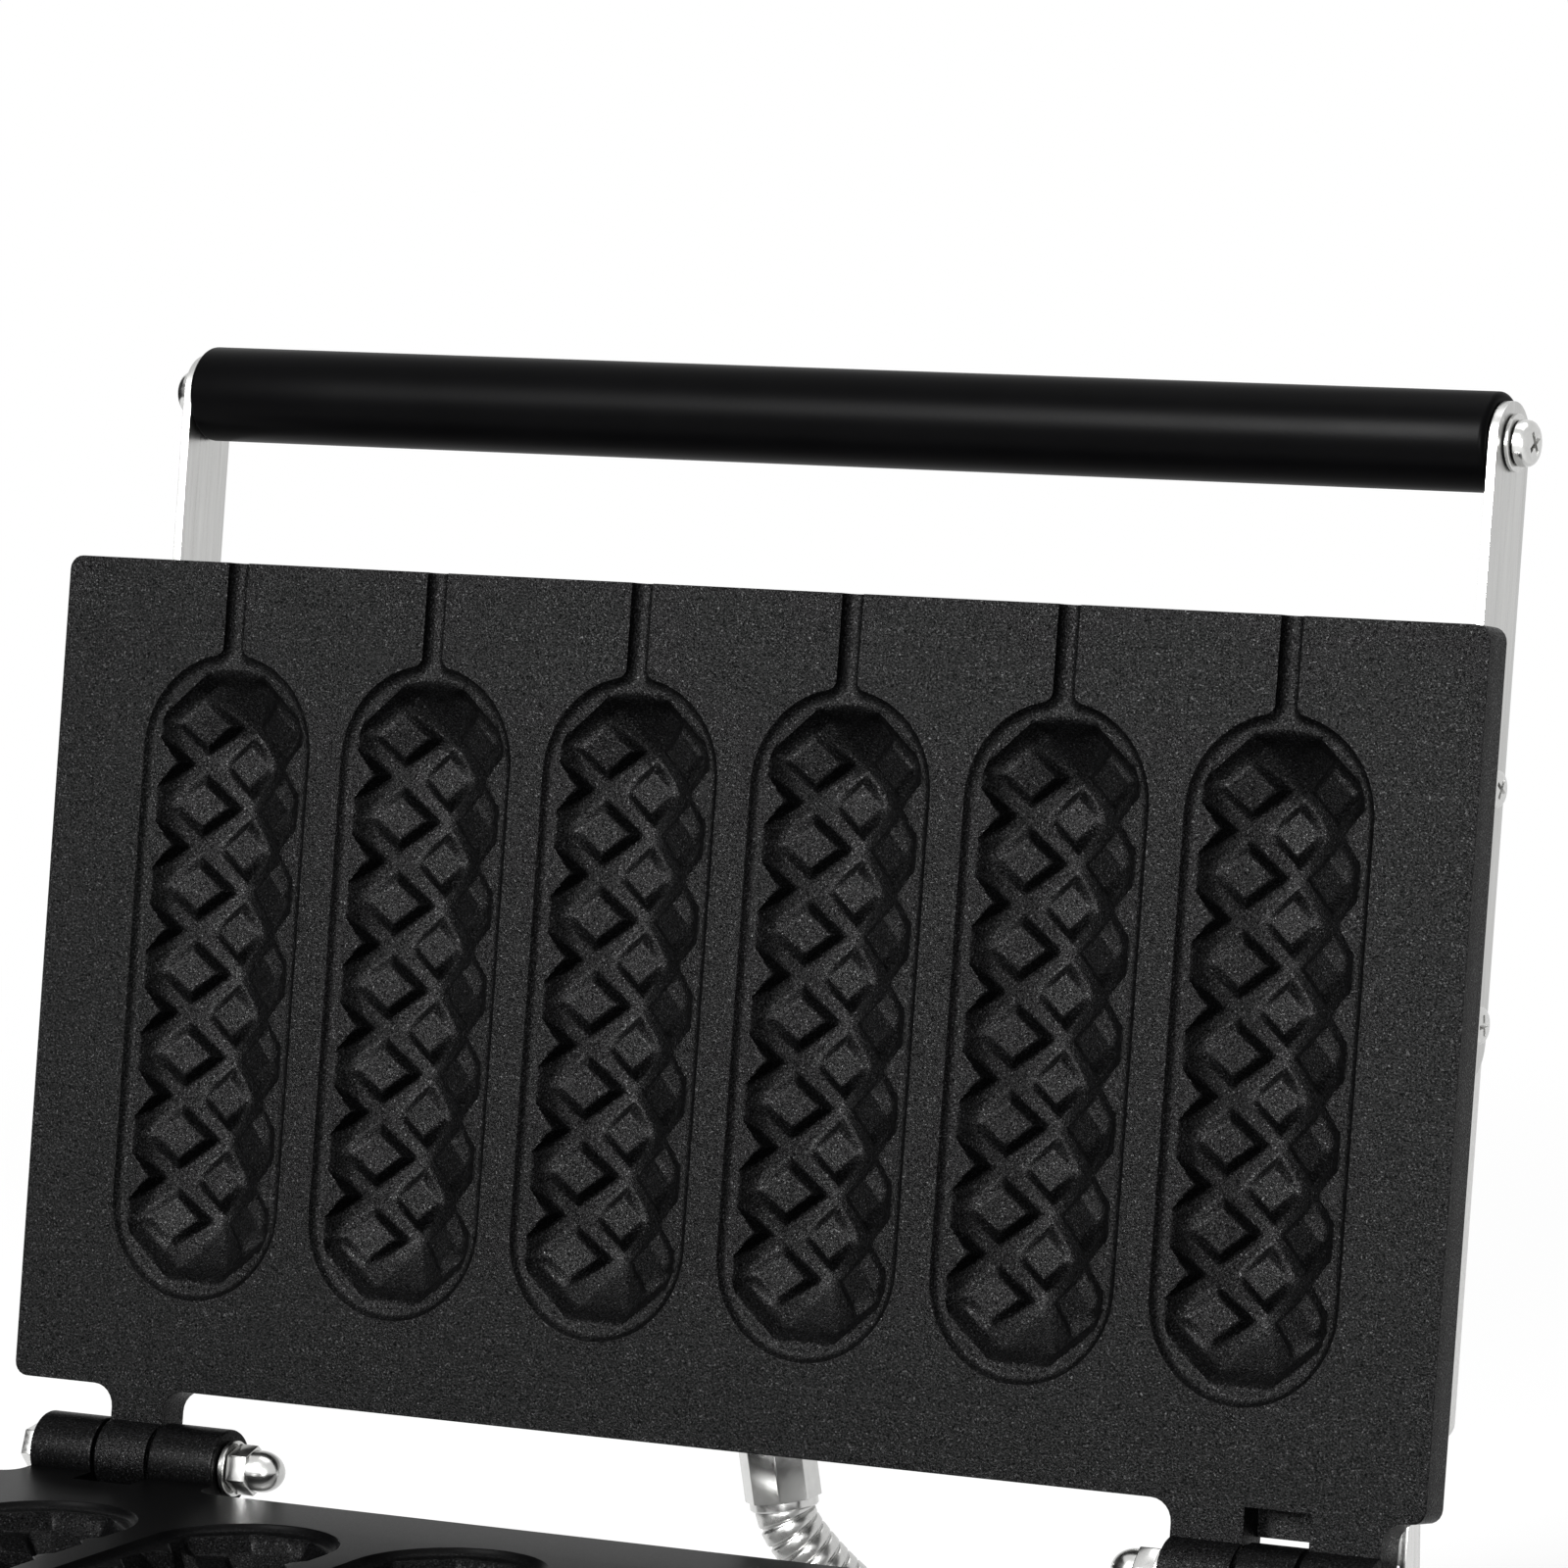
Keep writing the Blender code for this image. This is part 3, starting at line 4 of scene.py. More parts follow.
import bmesh
import bpy
from bmesh.types import BMEdge, BMVert
from mathutils import Euler, Matrix, Vector
from mathutils.geometry import interpolate_bezier


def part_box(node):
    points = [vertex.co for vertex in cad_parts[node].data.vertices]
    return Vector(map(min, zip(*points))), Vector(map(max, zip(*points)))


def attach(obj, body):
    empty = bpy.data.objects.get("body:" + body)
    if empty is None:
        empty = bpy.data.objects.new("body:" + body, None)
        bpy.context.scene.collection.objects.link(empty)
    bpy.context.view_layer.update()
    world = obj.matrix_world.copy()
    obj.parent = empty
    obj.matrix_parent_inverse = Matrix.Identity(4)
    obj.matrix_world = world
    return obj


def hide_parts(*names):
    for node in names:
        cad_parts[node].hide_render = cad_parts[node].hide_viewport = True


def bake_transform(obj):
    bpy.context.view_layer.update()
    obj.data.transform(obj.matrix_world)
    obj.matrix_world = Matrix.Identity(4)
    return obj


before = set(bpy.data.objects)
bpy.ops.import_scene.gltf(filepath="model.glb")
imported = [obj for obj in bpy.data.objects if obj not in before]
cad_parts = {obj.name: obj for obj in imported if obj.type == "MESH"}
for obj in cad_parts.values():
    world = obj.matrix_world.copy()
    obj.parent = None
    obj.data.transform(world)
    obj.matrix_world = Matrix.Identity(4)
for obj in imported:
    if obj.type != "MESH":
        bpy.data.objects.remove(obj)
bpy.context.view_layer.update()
scene = bpy.context.scene
mm = 0.001
still = Matrix.Identity(4)

# The machine stands on the ground, its front towards -Y. The lid is open and turns about the hinge line
stance = {"openAngle": 98.5, "faceDrop": 2.6, "gap": 0.3}
boltLow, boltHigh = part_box("hinge_bolt_right")
hinge = (boltLow + boltHigh) / 2
hinge.x = 0
openTurn = math.radians(stance["openAngle"])
baseFrame = Matrix.Translation(hinge)
lidFrame = baseFrame @ Matrix.Rotation(-openTurn, 4, "X")
lowerFrame = baseFrame @ Matrix.Translation((0, 0, -stance["faceDrop"] * mm))
upperDrop = stance["faceDrop"] - stance["gap"]
upperFrame = lidFrame @ Matrix.Translation((0, 0, -upperDrop * mm)) @ Matrix.Rotation(math.pi, 4, "Y")
lidTurn = (openTurn, 0, 0)  # brings a pattern back to the closed lid's own directions

shot = {
    "turn": 28.799,  # degrees round the machine, from its front
    "lift": 8.769,
    "place": (0.8281, -1.4930, 0.3578),  # metres, from the hinge line's middle
    "lens": 183.615,
    "shift": (0.04374, 0.19582),
}


def placeCamera():
    eye = bpy.data.cameras.new("photoCamera")
    eye.sensor_width = 36
    eye.lens = shot["lens"]
    eye.shift_x, eye.shift_y = shot["shift"]
    eye.clip_start, eye.clip_end = 0.05, 100
    made = bpy.data.objects.new("photoCamera", eye)
    scene.collection.objects.link(made)
    made.location = hinge + Vector(shot["place"])
    made.rotation_euler = (math.radians(90 - shot["lift"]), 0, math.radians(shot["turn"]))
    scene.camera = made


# Gives a node's input a value, or joins it to another node's output
def feed(node, key, value):
    socket = node.inputs[key]
    if isinstance(value, bpy.types.NodeSocket):
        node.id_data.links.new(value, socket)
    else:
        socket.default_value = (*value, 1) if socket.type == "RGBA" else value


def newNode(tree, kind, inputs=None, **settings):
    made = tree.nodes.new(kind)
    for key, value in settings.items():
        setattr(made, key, value)
    for key, value in (inputs or {}).items():
        feed(made, key, value)
    return made


def startFinish(name, colour, roughness, metallic=0.0, specular=0.5):
    made = bpy.data.materials.new(name)
    made.use_nodes = True
    shader = made.node_tree.nodes["Principled BSDF"]
    values = {"Base Color": colour, "Roughness": roughness, "Metallic": metallic, "Specular IOR Level": specular}
    for key, value in values.items():
        feed(shader, key, value)
    return made, made.node_tree, shader


# A pattern in real sizes: turn lays it along the piece, stretch then draws it out
def pattern(tree, scale, stretch=(1, 1, 1), turn=(0, 0, 0), kind="Noise", **values):
    place = newNode(tree, "ShaderNodeTexCoord").outputs["Object"]
    swung = newNode(tree, "ShaderNodeMapping", {"Vector": place, "Rotation": turn}).outputs["Vector"]
    drawn = newNode(tree, "ShaderNodeMapping", {"Vector": swung, "Scale": stretch}).outputs["Vector"]
    return newNode(tree, "ShaderNodeTex" + kind, {"Vector": drawn, "Scale": scale, **values}).outputs[0]


# Two stops, each a place and a tone
def shades(tree, source, stops):
    made = newNode(tree, "ShaderNodeValToRGB", {"Fac": source})
    for band, (place, tone) in zip(made.color_ramp.elements, stops):
        band.position = place
        band.color = (*(tone if isinstance(tone, tuple) else (tone,) * 3), 1)
    return made.outputs["Color"]


def spread(tree, source, low, high, start=0.0, end=1.0):
    limits = {"From Min": start, "From Max": end, "To Min": low, "To Max": high}
    return newNode(tree, "ShaderNodeMapRange", {"Value": source, **limits}).outputs["Result"]


def calculate(tree, operation, first, second):
    return newNode(tree, "ShaderNodeMath", {0: first, 1: second}, operation=operation).outputs[0]


def blendTones(tree, share, first, second, kind="MIX"):
    inputs = {"Factor": share, 6: first, 7: second}  # 6 and 7 are the node's two colours
    return newNode(tree, "ShaderNodeMix", inputs, data_type="RGBA", blend_type=kind).outputs[2]


def multiply(tree, first, second):
    return blendTones(tree, 1.0, first, second, "MULTIPLY")


def raiseGrain(tree, shader, source, depth, strength):
    bump = newNode(tree, "ShaderNodeBump", {"Distance": depth * mm, "Strength": strength, "Height": source})
    feed(shader, "Normal", bump.outputs["Normal"])


coating = {
    "dark": (0.003, 0.0031, 0.0033),
    "fleck": (0.004, 0.0041, 0.0044),
    "ground": ((0.30, (0.0003, 0.0003, 0.0003)), (0.72, (0.0013, 0.0013, 0.0014))),
    "flecks": ((0.58, 0.0), (0.74, 1.0)),
    "grains": ((0.36, 0.15), (0.66, 2.1)),  # how the gloss varies from grain to grain
    "sparkle": ((0.60, 1.0), (0.76, 5.0)),
    "worn": ((0.35, 0.86), (0.65, 1.10)),
    "roughness": 0.37, "deepRoughness": (0.33, 0.40), "satin": 0.36, "gloss": 0.045, "deepGloss": 0.064,
    "grain": 2400, "fleckGrain": 2300, "cloud": 45,
    # the share of the grain that stays, and between which heights over the face it changes, in millimetres
    "sunk": (1.0, 0.10, -2.2, -0.8),
    "raised": (0.0, 0.8, 0.4, 1.4),
    "deep": (2, 4),
}


# The cast plates' non-stick coating: near black, with bright mineral flecks
def coatingFinish(name, satin):
    c = coating
    made, tree, shader = startFinish(name, c["dark"], c["roughness"], specular=c["gloss"])
    fine = pattern(tree, c["grain"], Detail=3.0, Roughness=0.65)
    spots = pattern(tree, c["fleckGrain"], Detail=1.0, Roughness=0.5)
    cloud = pattern(tree, c["cloud"], Detail=4.0, Roughness=0.6)
    flecks = shades(tree, spots, c["flecks"])
    texture = multiply(tree, shades(tree, fine, c["grains"]), shades(tree, spots, c["sparkle"]))
    place = newNode(tree, "ShaderNodeTexCoord").outputs["Object"]
    if satin:  # the face is rubbed smooth, and only the cavities keep their flecks
        height = newNode(tree, "ShaderNodeSeparateXYZ", {"Vector": place}).outputs["Z"]
        face = hinge.z - stance["faceDrop"] * mm
        parts = [spread(tree, height, *c[key][:2], *(face + h * mm for h in c[key][2:])) for key in ("sunk", "raised")]
        rough = calculate(tree, "MAXIMUM", *parts)
        flecks = blendTones(tree, rough, (0, 0, 0), flecks)
        gloss = multiply(tree, blendTones(tree, rough, (1, 1, 1), texture), (c["gloss"],) * 3)
        roughness = spread(tree, rough, c["satin"], c["roughness"])
    else:  # the gloss rises with depth below the face, so the pockets shine more than the face
        swung = newNode(tree, "ShaderNodeMapping", {"Vector": place, "Rotation": lidTurn}).outputs["Vector"]
        height = newNode(tree, "ShaderNodeSeparateXYZ", {"Vector": swung}).outputs["Z"]
        face = (Matrix.Rotation(openTurn, 3, "X") @ hinge).z - upperDrop * mm
        start, end = (face + h * mm for h in c["deep"])
        gloss = multiply(tree, spread(tree, height, c["gloss"], c["deepGloss"], start, end), texture)
        roughness = spread(tree, cloud, *c["deepRoughness"])
    feed(shader, "Specular IOR Level", gloss)
    feed(shader, "Roughness", roughness)
    tone = blendTones(tree, flecks, shades(tree, fine, c["ground"]), c["fleck"])
    feed(shader, "Base Color", multiply(tree, tone, shades(tree, cloud, c["worn"])))
    raiseGrain(tree, shader, fine, 0.05 if satin else 0.20, 0.5 if satin else 0.9)
    return made


# Rolled or ground steel with fine lines along the piece
def brushedFinish(name, colour, roughness, lines, turn=(0, 0, 0)):
    made, tree, shader = startFinish(name, colour, roughness, 1.0)
    streaks = pattern(tree, 1.0, lines, turn, Detail=4.0, Roughness=0.7)
    cloud = pattern(tree, 28, turn=turn, Detail=3.0)
    tone = shades(tree, streaks, ((0.25, 0.80), (0.75, 1.04)))
    haze = shades(tree, cloud, ((0.3, 0.94), (0.7, 1.0)))
    feed(shader, "Base Color", multiply(tree, multiply(tree, tone, haze), colour))
    feed(shader, "Roughness", spread(tree, streaks, roughness * 0.75, roughness * 1.3))
    raiseGrain(tree, shader, streaks, 0.012, 0.6)
    return made


# Plated or polished steel, with a faint handling haze
def polishedFinish(name, colour, roughness, grain):
    made, tree, shader = startFinish(name, colour, roughness, 1.0)
    haze = pattern(tree, grain, Detail=3.0)
    feed(shader, "Base Color", multiply(tree, shades(tree, haze, ((0.3, 0.90), (0.7, 1.0))), colour))
    feed(shader, "Roughness", spread(tree, haze, roughness * 0.7, roughness * 1.5))
    raiseGrain(tree, shader, haze, 0.004, 0.3)
    return made


# Moulded plastic, rubber, ceramic or paint: one colour with a fine skin
def mouldedFinish(name, colour, roughness, grain, depth, variety, specular=0.5):
    made, tree, shader = startFinish(name, colour, roughness, 0.0, specular)
    skin = pattern(tree, grain, Detail=3.0, Roughness=0.6)
    cloud = pattern(tree, 60, Detail=3.0)
    feed(shader, "Base Color", multiply(tree, shades(tree, cloud, ((0.3, 1 - variety), (0.7, 1.0))), colour))
    feed(shader, "Roughness", spread(tree, cloud, roughness * 0.88, roughness * 1.12))
    raiseGrain(tree, shader, skin, depth, 0.6)
    return made


def lensFinish(name, colour):
    made, tree, shader = startFinish(name, colour, 0.08)
    facets = pattern(tree, 900, kind="Voronoi")
    feed(shader, "Base Color", multiply(tree, shades(tree, facets, ((0.0, 1.0), (0.8, 0.55))), colour))
    feed(shader, "Coat Weight", 1.0)
    feed(shader, "Coat Roughness", 0.04)
    raiseGrain(tree, shader, facets, 0.08, 0.5)
    return made


# Each finish: its usual slot, its recipe and the recipe's values
recipes = {
    "upperCoating": ("coated_plate", coatingFinish, False),
    "lowerCoating": ("coated_plate", coatingFinish, True),
    "armSteel": ("arm_steel", brushedFinish, (0.56, 0.56, 0.55), 0.28, (900, 25, 900), lidTurn),
    "lidSheet": ("steel_sheet", brushedFinish, (0.66, 0.66, 0.65), 0.30, (22, 1100, 1100), lidTurn),
    "baseSheet": ("steel_sheet", brushedFinish, (0.46, 0.46, 0.455), 0.34, (22, 1100, 1100)),
    "bracketSteel": ("bright_steel", brushedFinish, (0.72, 0.72, 0.71), 0.26, (900, 900, 30)),
    "brightSteel": ("bright_steel", polishedFinish, (0.58, 0.58, 0.57), 0.19, 420),
    "screwSteel": ("bright_steel", polishedFinish, (0.60, 0.60, 0.59), 0.25, 900),
    "conduitSteel": ("conduit_steel", polishedFinish, (0.54, 0.54, 0.53), 0.26, 700),
    "gripPlastic": ("grip_plastic", mouldedFinish, (0.0008, 0.0008, 0.0009), 0.36, 1600, 0.020, 0.2, 0.022),
    "blackPlastic": ("black_plastic", mouldedFinish, (0.010, 0.010, 0.0105), 0.42, 1400, 0.030, 0.15, 0.3),
    "rubber": ("rubber", mouldedFinish, (0.014, 0.014, 0.014), 0.80, 900, 0.060, 0.25, 0.2),
    "panelPaint": ("panel_paint", mouldedFinish, (0.009, 0.009, 0.0095), 0.36, 1100, 0.020, 0.10, 0.25),
    "dialWhite": ("panel_paint", mouldedFinish, (0.80, 0.80, 0.78), 0.45, 900, 0.010, 0.05),
    "ceramic": (None, mouldedFinish, (0.76, 0.74, 0.69), 0.42, 700, 0.020, 0.10),
    "wool": (None, mouldedFinish, (0.74, 0.71, 0.63), 0.95, 700, 0.600, 0.30, 0.2),
    "element": (None, mouldedFinish, (0.13, 0.12, 0.11), 0.55, 800, 0.040, 0.40),
    "greenLens": ("green_lens", lensFinish, (0.05, 0.42, 0.10)),
    "redLens": ("red_lens", lensFinish, (0.62, 0.03, 0.02)),
}
finishes = {name: recipe(name, *values) for name, (slot, recipe, *values) in recipes.items()}
print("finishes are ready")


# Uses up a bmesh for a new object
def toObject(name, bm, material):
    mesh = bpy.data.meshes.new(name)
    bm.to_mesh(mesh)
    bm.free()
    mesh.materials.append(material)
    made = bpy.data.objects.new(name, mesh)
    scene.collection.objects.link(made)
    return made


# Turns a bmesh into a finished piece: placed, riding on its body, and standing for its CAD node
def finishPiece(name, bm, finish, body, node=None, sharp=32, place=still):
    bmesh.ops.transform(bm, matrix=place, verts=bm.verts)
    made = toObject(name, bm, finishes[finish])
    for polygon in made.data.polygons:
        polygon.use_smooth = True
    made.data.set_sharp_from_angle(angle=math.radians(sharp))
    if body:
        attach(made, body)
    if node:
        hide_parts(node)
    return made


def keepNormals(made):
    weigh = made.modifiers.new("Weighted normals", "WEIGHTED_NORMAL")
    weigh.keep_sharp = True
    weigh.weight = 80


def giveThickness(made, sheet):
    wall = made.modifiers.new("Sheet", "SOLIDIFY")
    wall.thickness = sheet * mm
    wall.offset = -1
    wall.use_even_offset = True


# The verts or edges among what an operator made
def pick(made, kind):
    return [item for item in made["geom"] if isinstance(item, kind)]


def newVerts(bm, before):
    return [vert for vert in bm.verts if vert not in before]


# These two keep their order, so that each run gives the same mesh
def facesAt(verts):
    return list(dict.fromkeys(face for vert in verts for face in vert.link_faces))


def edgesAt(verts):
    return list(dict.fromkeys(edge for vert in verts for edge in vert.link_edges))


# Turns what was added since "before" outwards and puts it in its place
def settle(bm, before, place):
    new = newVerts(bm, before)
    bmesh.ops.recalc_face_normals(bm, faces=facesAt(new))
    bmesh.ops.transform(bm, matrix=place, verts=new)


# Moves the other bmesh's shape into this one
def join(bm, other):
    kept = bpy.data.meshes.new("joined")
    other.to_mesh(kept)
    other.free()
    bm.from_mesh(kept)
    bpy.data.meshes.remove(kept)


def cleanUp(bm, reach):
    bmesh.ops.remove_doubles(bm, verts=bm.verts, dist=reach)
    bmesh.ops.recalc_face_normals(bm, faces=bm.faces)


def isSharp(edge, least):
    return len(edge.link_faces) == 2 and edge.calc_face_angle(0) > math.radians(least)


def soften(bm, edges, radius, steps=2, clamp=True):
    settings = {"profile": 0.5, "affect": "EDGES", "material": -1, "clamp_overlap": clamp}
    bmesh.ops.bevel(bm, geom=edges, offset=radius, segments=steps, **settings)


def softenSharp(bm, radius, least=60):
    soften(bm, [edge for edge in bm.edges if isSharp(edge, least)], radius * mm)


def fill(bm, edges, normal=(0, 0, 1)):
    bmesh.ops.triangle_fill(bm, edges=edges, use_beauty=True, normal=normal)


# A closed ring of edges
def addRing(bm, spots):
    ring = [bm.verts.new(spot) for spot in spots]
    return [bm.edges.new(pair) for pair in zip(ring, ring[1:] + ring[:1])]


# A block between two corners in millimetres
def addBlock(bm, low, high, place=still):
    low, high = Vector(low) * mm, Vector(high) * mm
    place = place @ Matrix.Translation((high + low) / 2) @ Matrix.Diagonal((*(high - low), 1))
    return bmesh.ops.create_cube(bm, size=1, matrix=place)["verts"]


# A turned body about Z. The profile lists (radius, height) in millimetres
def addTurned(bm, profile, steps, place=still):
    before = set(bm.verts)
    line = [bm.verts.new((radius * mm, 0, height * mm)) for radius, height in profile]
    edges = [bm.edges.new(pair) for pair in zip(line, line[1:])]
    settings = {"axis": (0, 0, 1), "cent": (0, 0, 0), "angle": math.tau, "use_merge": True}
    bmesh.ops.spin(bm, geom=line + edges, steps=steps, **settings)
    bmesh.ops.remove_doubles(bm, verts=newVerts(bm, before), dist=0.000004)
    settle(bm, before, place)


# Outlines in millimetres, drawn up into a solid between two heights. Loops that lie inside are holes
def addSlab(bm, loops, low, high, place=still):
    before = set(bm.verts)
    edges = []
    for loop in loops:
        edges += addRing(bm, [(x * mm, y * mm, low * mm) for x, y in loop])
    fill(bm, edges)
    flat = newVerts(bm, before)
    bmesh.ops.dissolve_limit(bm, angle_limit=0.01, verts=flat, edges=edgesAt(flat))
    grown = bmesh.ops.extrude_face_region(bm, geom=facesAt(newVerts(bm, before)))
    for vert in pick(grown, BMVert):
        vert.co.z = high * mm
    settle(bm, before, place)


def arc(middle, radius, start, end, steps):
    angles = [math.radians(start + (end - start) * step / steps) for step in range(steps + 1)]
    return [(middle[0] + radius * math.cos(angle), middle[1] + radius * math.sin(angle)) for angle in angles]


def circle(x, y, radius, steps):
    return arc((x, y), radius, 0, 360, steps)[:-1]


def roundedBox(wide, tall, corner, steps=6):
    x, y = wide / 2 - corner, tall / 2 - corner
    spots = arc((x, y), corner, 0, 90, steps) + arc((-x, y), corner, 90, 180, steps)
    return spots + arc((-x, -y), corner, 180, 270, steps) + arc((x, -y), corner, 270, 360, steps)


# A quarter ellipse from a turned body's side up to its tip
def dome(radius, low, rise, steps):
    angles = [math.pi / 2 * step / steps for step in range(1, steps + 1)]
    return [(radius * math.cos(angle), low + rise * math.sin(angle)) for angle in angles]


def onBase(x, y, z):
    return baseFrame @ Matrix.Translation((x * mm, y * mm, z * mm))


def onLid(x, y, z):
    return lidFrame @ Matrix.Translation((x * mm, y * mm, z * mm))


def turnedPiece(name, profile, steps, place, finish, body, node, sharp=32):
    bm = bmesh.new()
    addTurned(bm, profile, steps, place)
    finishPiece(name, bm, finish, body, node, sharp)


sideways = Matrix(((0, 0, 1, 0), (1, 0, 0, 0), (0, 1, 0, 0), (0, 0, 0, 1)))  # an outline in (y, z), drawn along X
toFront, toRear = (Matrix.Rotation(side * math.pi / 2, 4, "X") for side in (1, -1))
toRight, toLeft = (Matrix.Rotation(side * math.pi / 2, 4, "Y") for side in (1, -1))

near = 0.001  # what counts as the same place while a casting is made, in millimetres
plate = {
    "width": 350, "depth": 187, "setback": 16, "corner": 3.2, "rim": 9, "edge": 0.55,
    "core": 10.5, "coreWidth": 300, "coreInset": 17, "post": 4, "postInset": 9, "postEnd": 46.0,
}
cavity = {
    "count": 6, "pitch": 52, "width": 44, "length": 146, "floor": 1.7, "groove": 2.6,
    "mouth": 2.2,  # round where the stick groove opens into the recess
    "steps": (0, 0.10, 0.28, 0.55, 0.90, 1.30, 1.75, 2.15, 2.6),
    "wall": (0, -0.06, -0.26, -0.68, -1.12, -1.44, -1.62, -1.69, -1.7),
    "parts": (6, 8, 22, 10, 26),  # edges along the groove, its mouth, the front end, the side and the rear end
}
diamonds = {
    "width": 37, "length": 136.4, "chamferAcross": 11, "chamferAlong": 12.7, "depth": 13.2,
    "across": 10.3, "along": 9.39, "shift": -1.0, "land": 0.48, "foot": 0.81, "rise": 2.1,
    "lean": 0.75,  # how far a top follows the trough's slope
    "wall": (0.14, 0.33),  # the steep edge of the trough: its share of the way in, and of the depth
    "bend": 1.4, "endSteepness": 1.3, "soften": 0.3,
    "plainEnd": 7,  # no diamond stands whose middle is this near the end
    "lines": (0.0, 0.25, 0.42, 0.475, 0.525, 0.60, 0.68, 0.76, 0.82, 0.90, 1.0),
    "reach": 9,  # half diamonds from the middle to the grid's end
    "spare": 3,  # how far the grid reaches past its round end, where flat cuts trim it
    "trims": 18,  # cuts round each end
    "strip": 0.6,  # between the grid and the foot of the recess's wall
}
knuckles = {
    "radius": 8.63, "edge": 0.6, "fillet": 5, "bore": 3.3,
    "lugs": ((-165.5, -149.1), (-133.9, -117.0), (134.7, 148.3)),  # of the lower casting, from the left
    "notch": (-149.1, -133.9),  # sides of lugs that have no fillet
    "hidden": -4.6,  # the casting's outline ends here, inside the knuckles
    "web": ((-150, -18.5, -8.9), (-133, -9.5, -7.2)),  # closes the back of the upper casting's notch
}
plateMiddle = -(plate["setback"] + plate["depth"] / 2)
plateFront = -(plate["setback"] + plate["depth"])
plateRear = -plate["setback"]


# How deep the grooves' floor lies, which is one smooth trough
def troughDepth(x, y):
    d = diamonds
    chamferX, chamferY = d["chamferAcross"], d["chamferAlong"]
    across = d["width"] / 2 - abs(x)
    along = (d["length"] / 2 - abs(y)) * d["endSteepness"]
    corner = (across * chamferY + along * chamferX - chamferX * chamferY) / math.hypot(chamferX, chamferY)
    inward = min(across, along, corner) / (d["width"] / 2)
    foot, drop = d["wall"]
    if inward < foot:
        share = drop * inward / foot
    else:
        share = drop + (1 - drop) * (1 - (1 - (min(inward, 1) - foot) / (1 - foot)) ** d["bend"])
    return cavity["floor"] + share * (d["depth"] - cavity["floor"])


def placeOf(a, b):
    return (a - b) / 2 * diamonds["across"], (a + b) / 2 * diamonds["along"] + diamonds["shift"]


# A diamond's top is flat and lies along the trough, and its sides fall into the grooves
def pocketSpot(a, b):
    d = diamonds
    x, y = placeOf(a, b)
    cellA, cellB = 2 * math.floor(a / 2) + 1, 2 * math.floor(b / 2) + 1
    away = max(abs(a - cellA), abs(b - cellB))
    slope = min(max((d["foot"] - away) / (d["foot"] - d["land"]), 0), 1)
    slope = (slope * slope * (3 - 2 * slope) + slope) / 2
    depth, lean = troughDepth(x, y), Vector((0, 0, 1))
    middleX, middleY = placeOf(cellA, cellB)
    if abs(middleY) > d["length"] / 2 - d["plainEnd"] and abs(middleX) < d["across"]:
        slope = 0
    if slope > 0:
        wide, long = d["land"] * d["across"], d["land"] * d["along"]
        right, left = troughDepth(middleX + wide, middleY), troughDepth(middleX - wide, middleY)
        upper, lower = troughDepth(middleX, middleY + long), troughDepth(middleX, middleY - long)
        level = troughDepth(middleX, middleY) / 2 + (right + left + upper + lower) / 8
        fallX, fallY = (right - left) / (2 * wide), (upper - lower) / (2 * long)
        flat = level + (fallX * (x - middleX) + fallY * (y - middleY)) * d["lean"]
        depth += (flat - depth) * slope
        lean = Vector((fallX, fallY, 1)).normalized()
    spot = Vector((x, y, -depth)) + lean * d["rise"] * slope
    below = -cavity["floor"] - spot.z  # under the recess's floor
    spot.z = -cavity["floor"] - (below + math.sqrt(below * below + d["soften"] ** 2)) / 2
    return spot


# The pocket: a diagonal grid whose lines lie on the diamonds' edges, trimmed round to the recess's shape
def addPocket(bm):
    d, c = diamonds, cavity
    reach = d["reach"]
    period = [-share for share in d["lines"][:0:-1]] + list(d["lines"][:-1])
    lines = [centre + share for centre in range(-reach, reach + 1, 2) for share in period] + [reach + 1]
    count = len(lines) - 1
    radius = c["width"] / 2 - c["steps"][-1] - d["strip"]
    end = c["length"] / 2 - c["width"] / 2
    grid = bmesh.ops.create_grid(bm, x_segments=count, y_segments=count, size=count / 2)["verts"]
    gone = []
    for vert in grid:
        a, b = lines[round(vert.co.x + count / 2)], lines[round(vert.co.y + count / 2)]
        x, y = placeOf(a, b)
        if math.hypot(x, max(abs(y) - end, 0)) > radius + d["spare"]:
            gone.append(vert)
        else:
            vert.co = pocketSpot(a, b)
    bmesh.ops.delete(bm, geom=gone, context="VERTS")
    turns = [(0, 0), (180, 0)]
    for step in range(d["trims"]):
        angle = (step + 0.5) * 180 / d["trims"]
        turns += [(angle, end), (angle + 180, -end)]
    for angle, y in turns:
        out = Vector((math.cos(math.radians(angle)), math.sin(math.radians(angle)), 0))
        geom, spot = bm.verts[:] + bm.edges[:] + bm.faces[:], Vector((0, y, 0)) + out * radius
        bmesh.ops.bisect_plane(bm, geom=geom, dist=0.0001, plane_co=spot, plane_no=out, clear_outer=True)
    bmesh.ops.remove_doubles(bm, verts=bm.verts, dist=0.04)
    bmesh.ops.delete(bm, geom=[vert for vert in bm.verts if not vert.link_faces], context="VERTS")


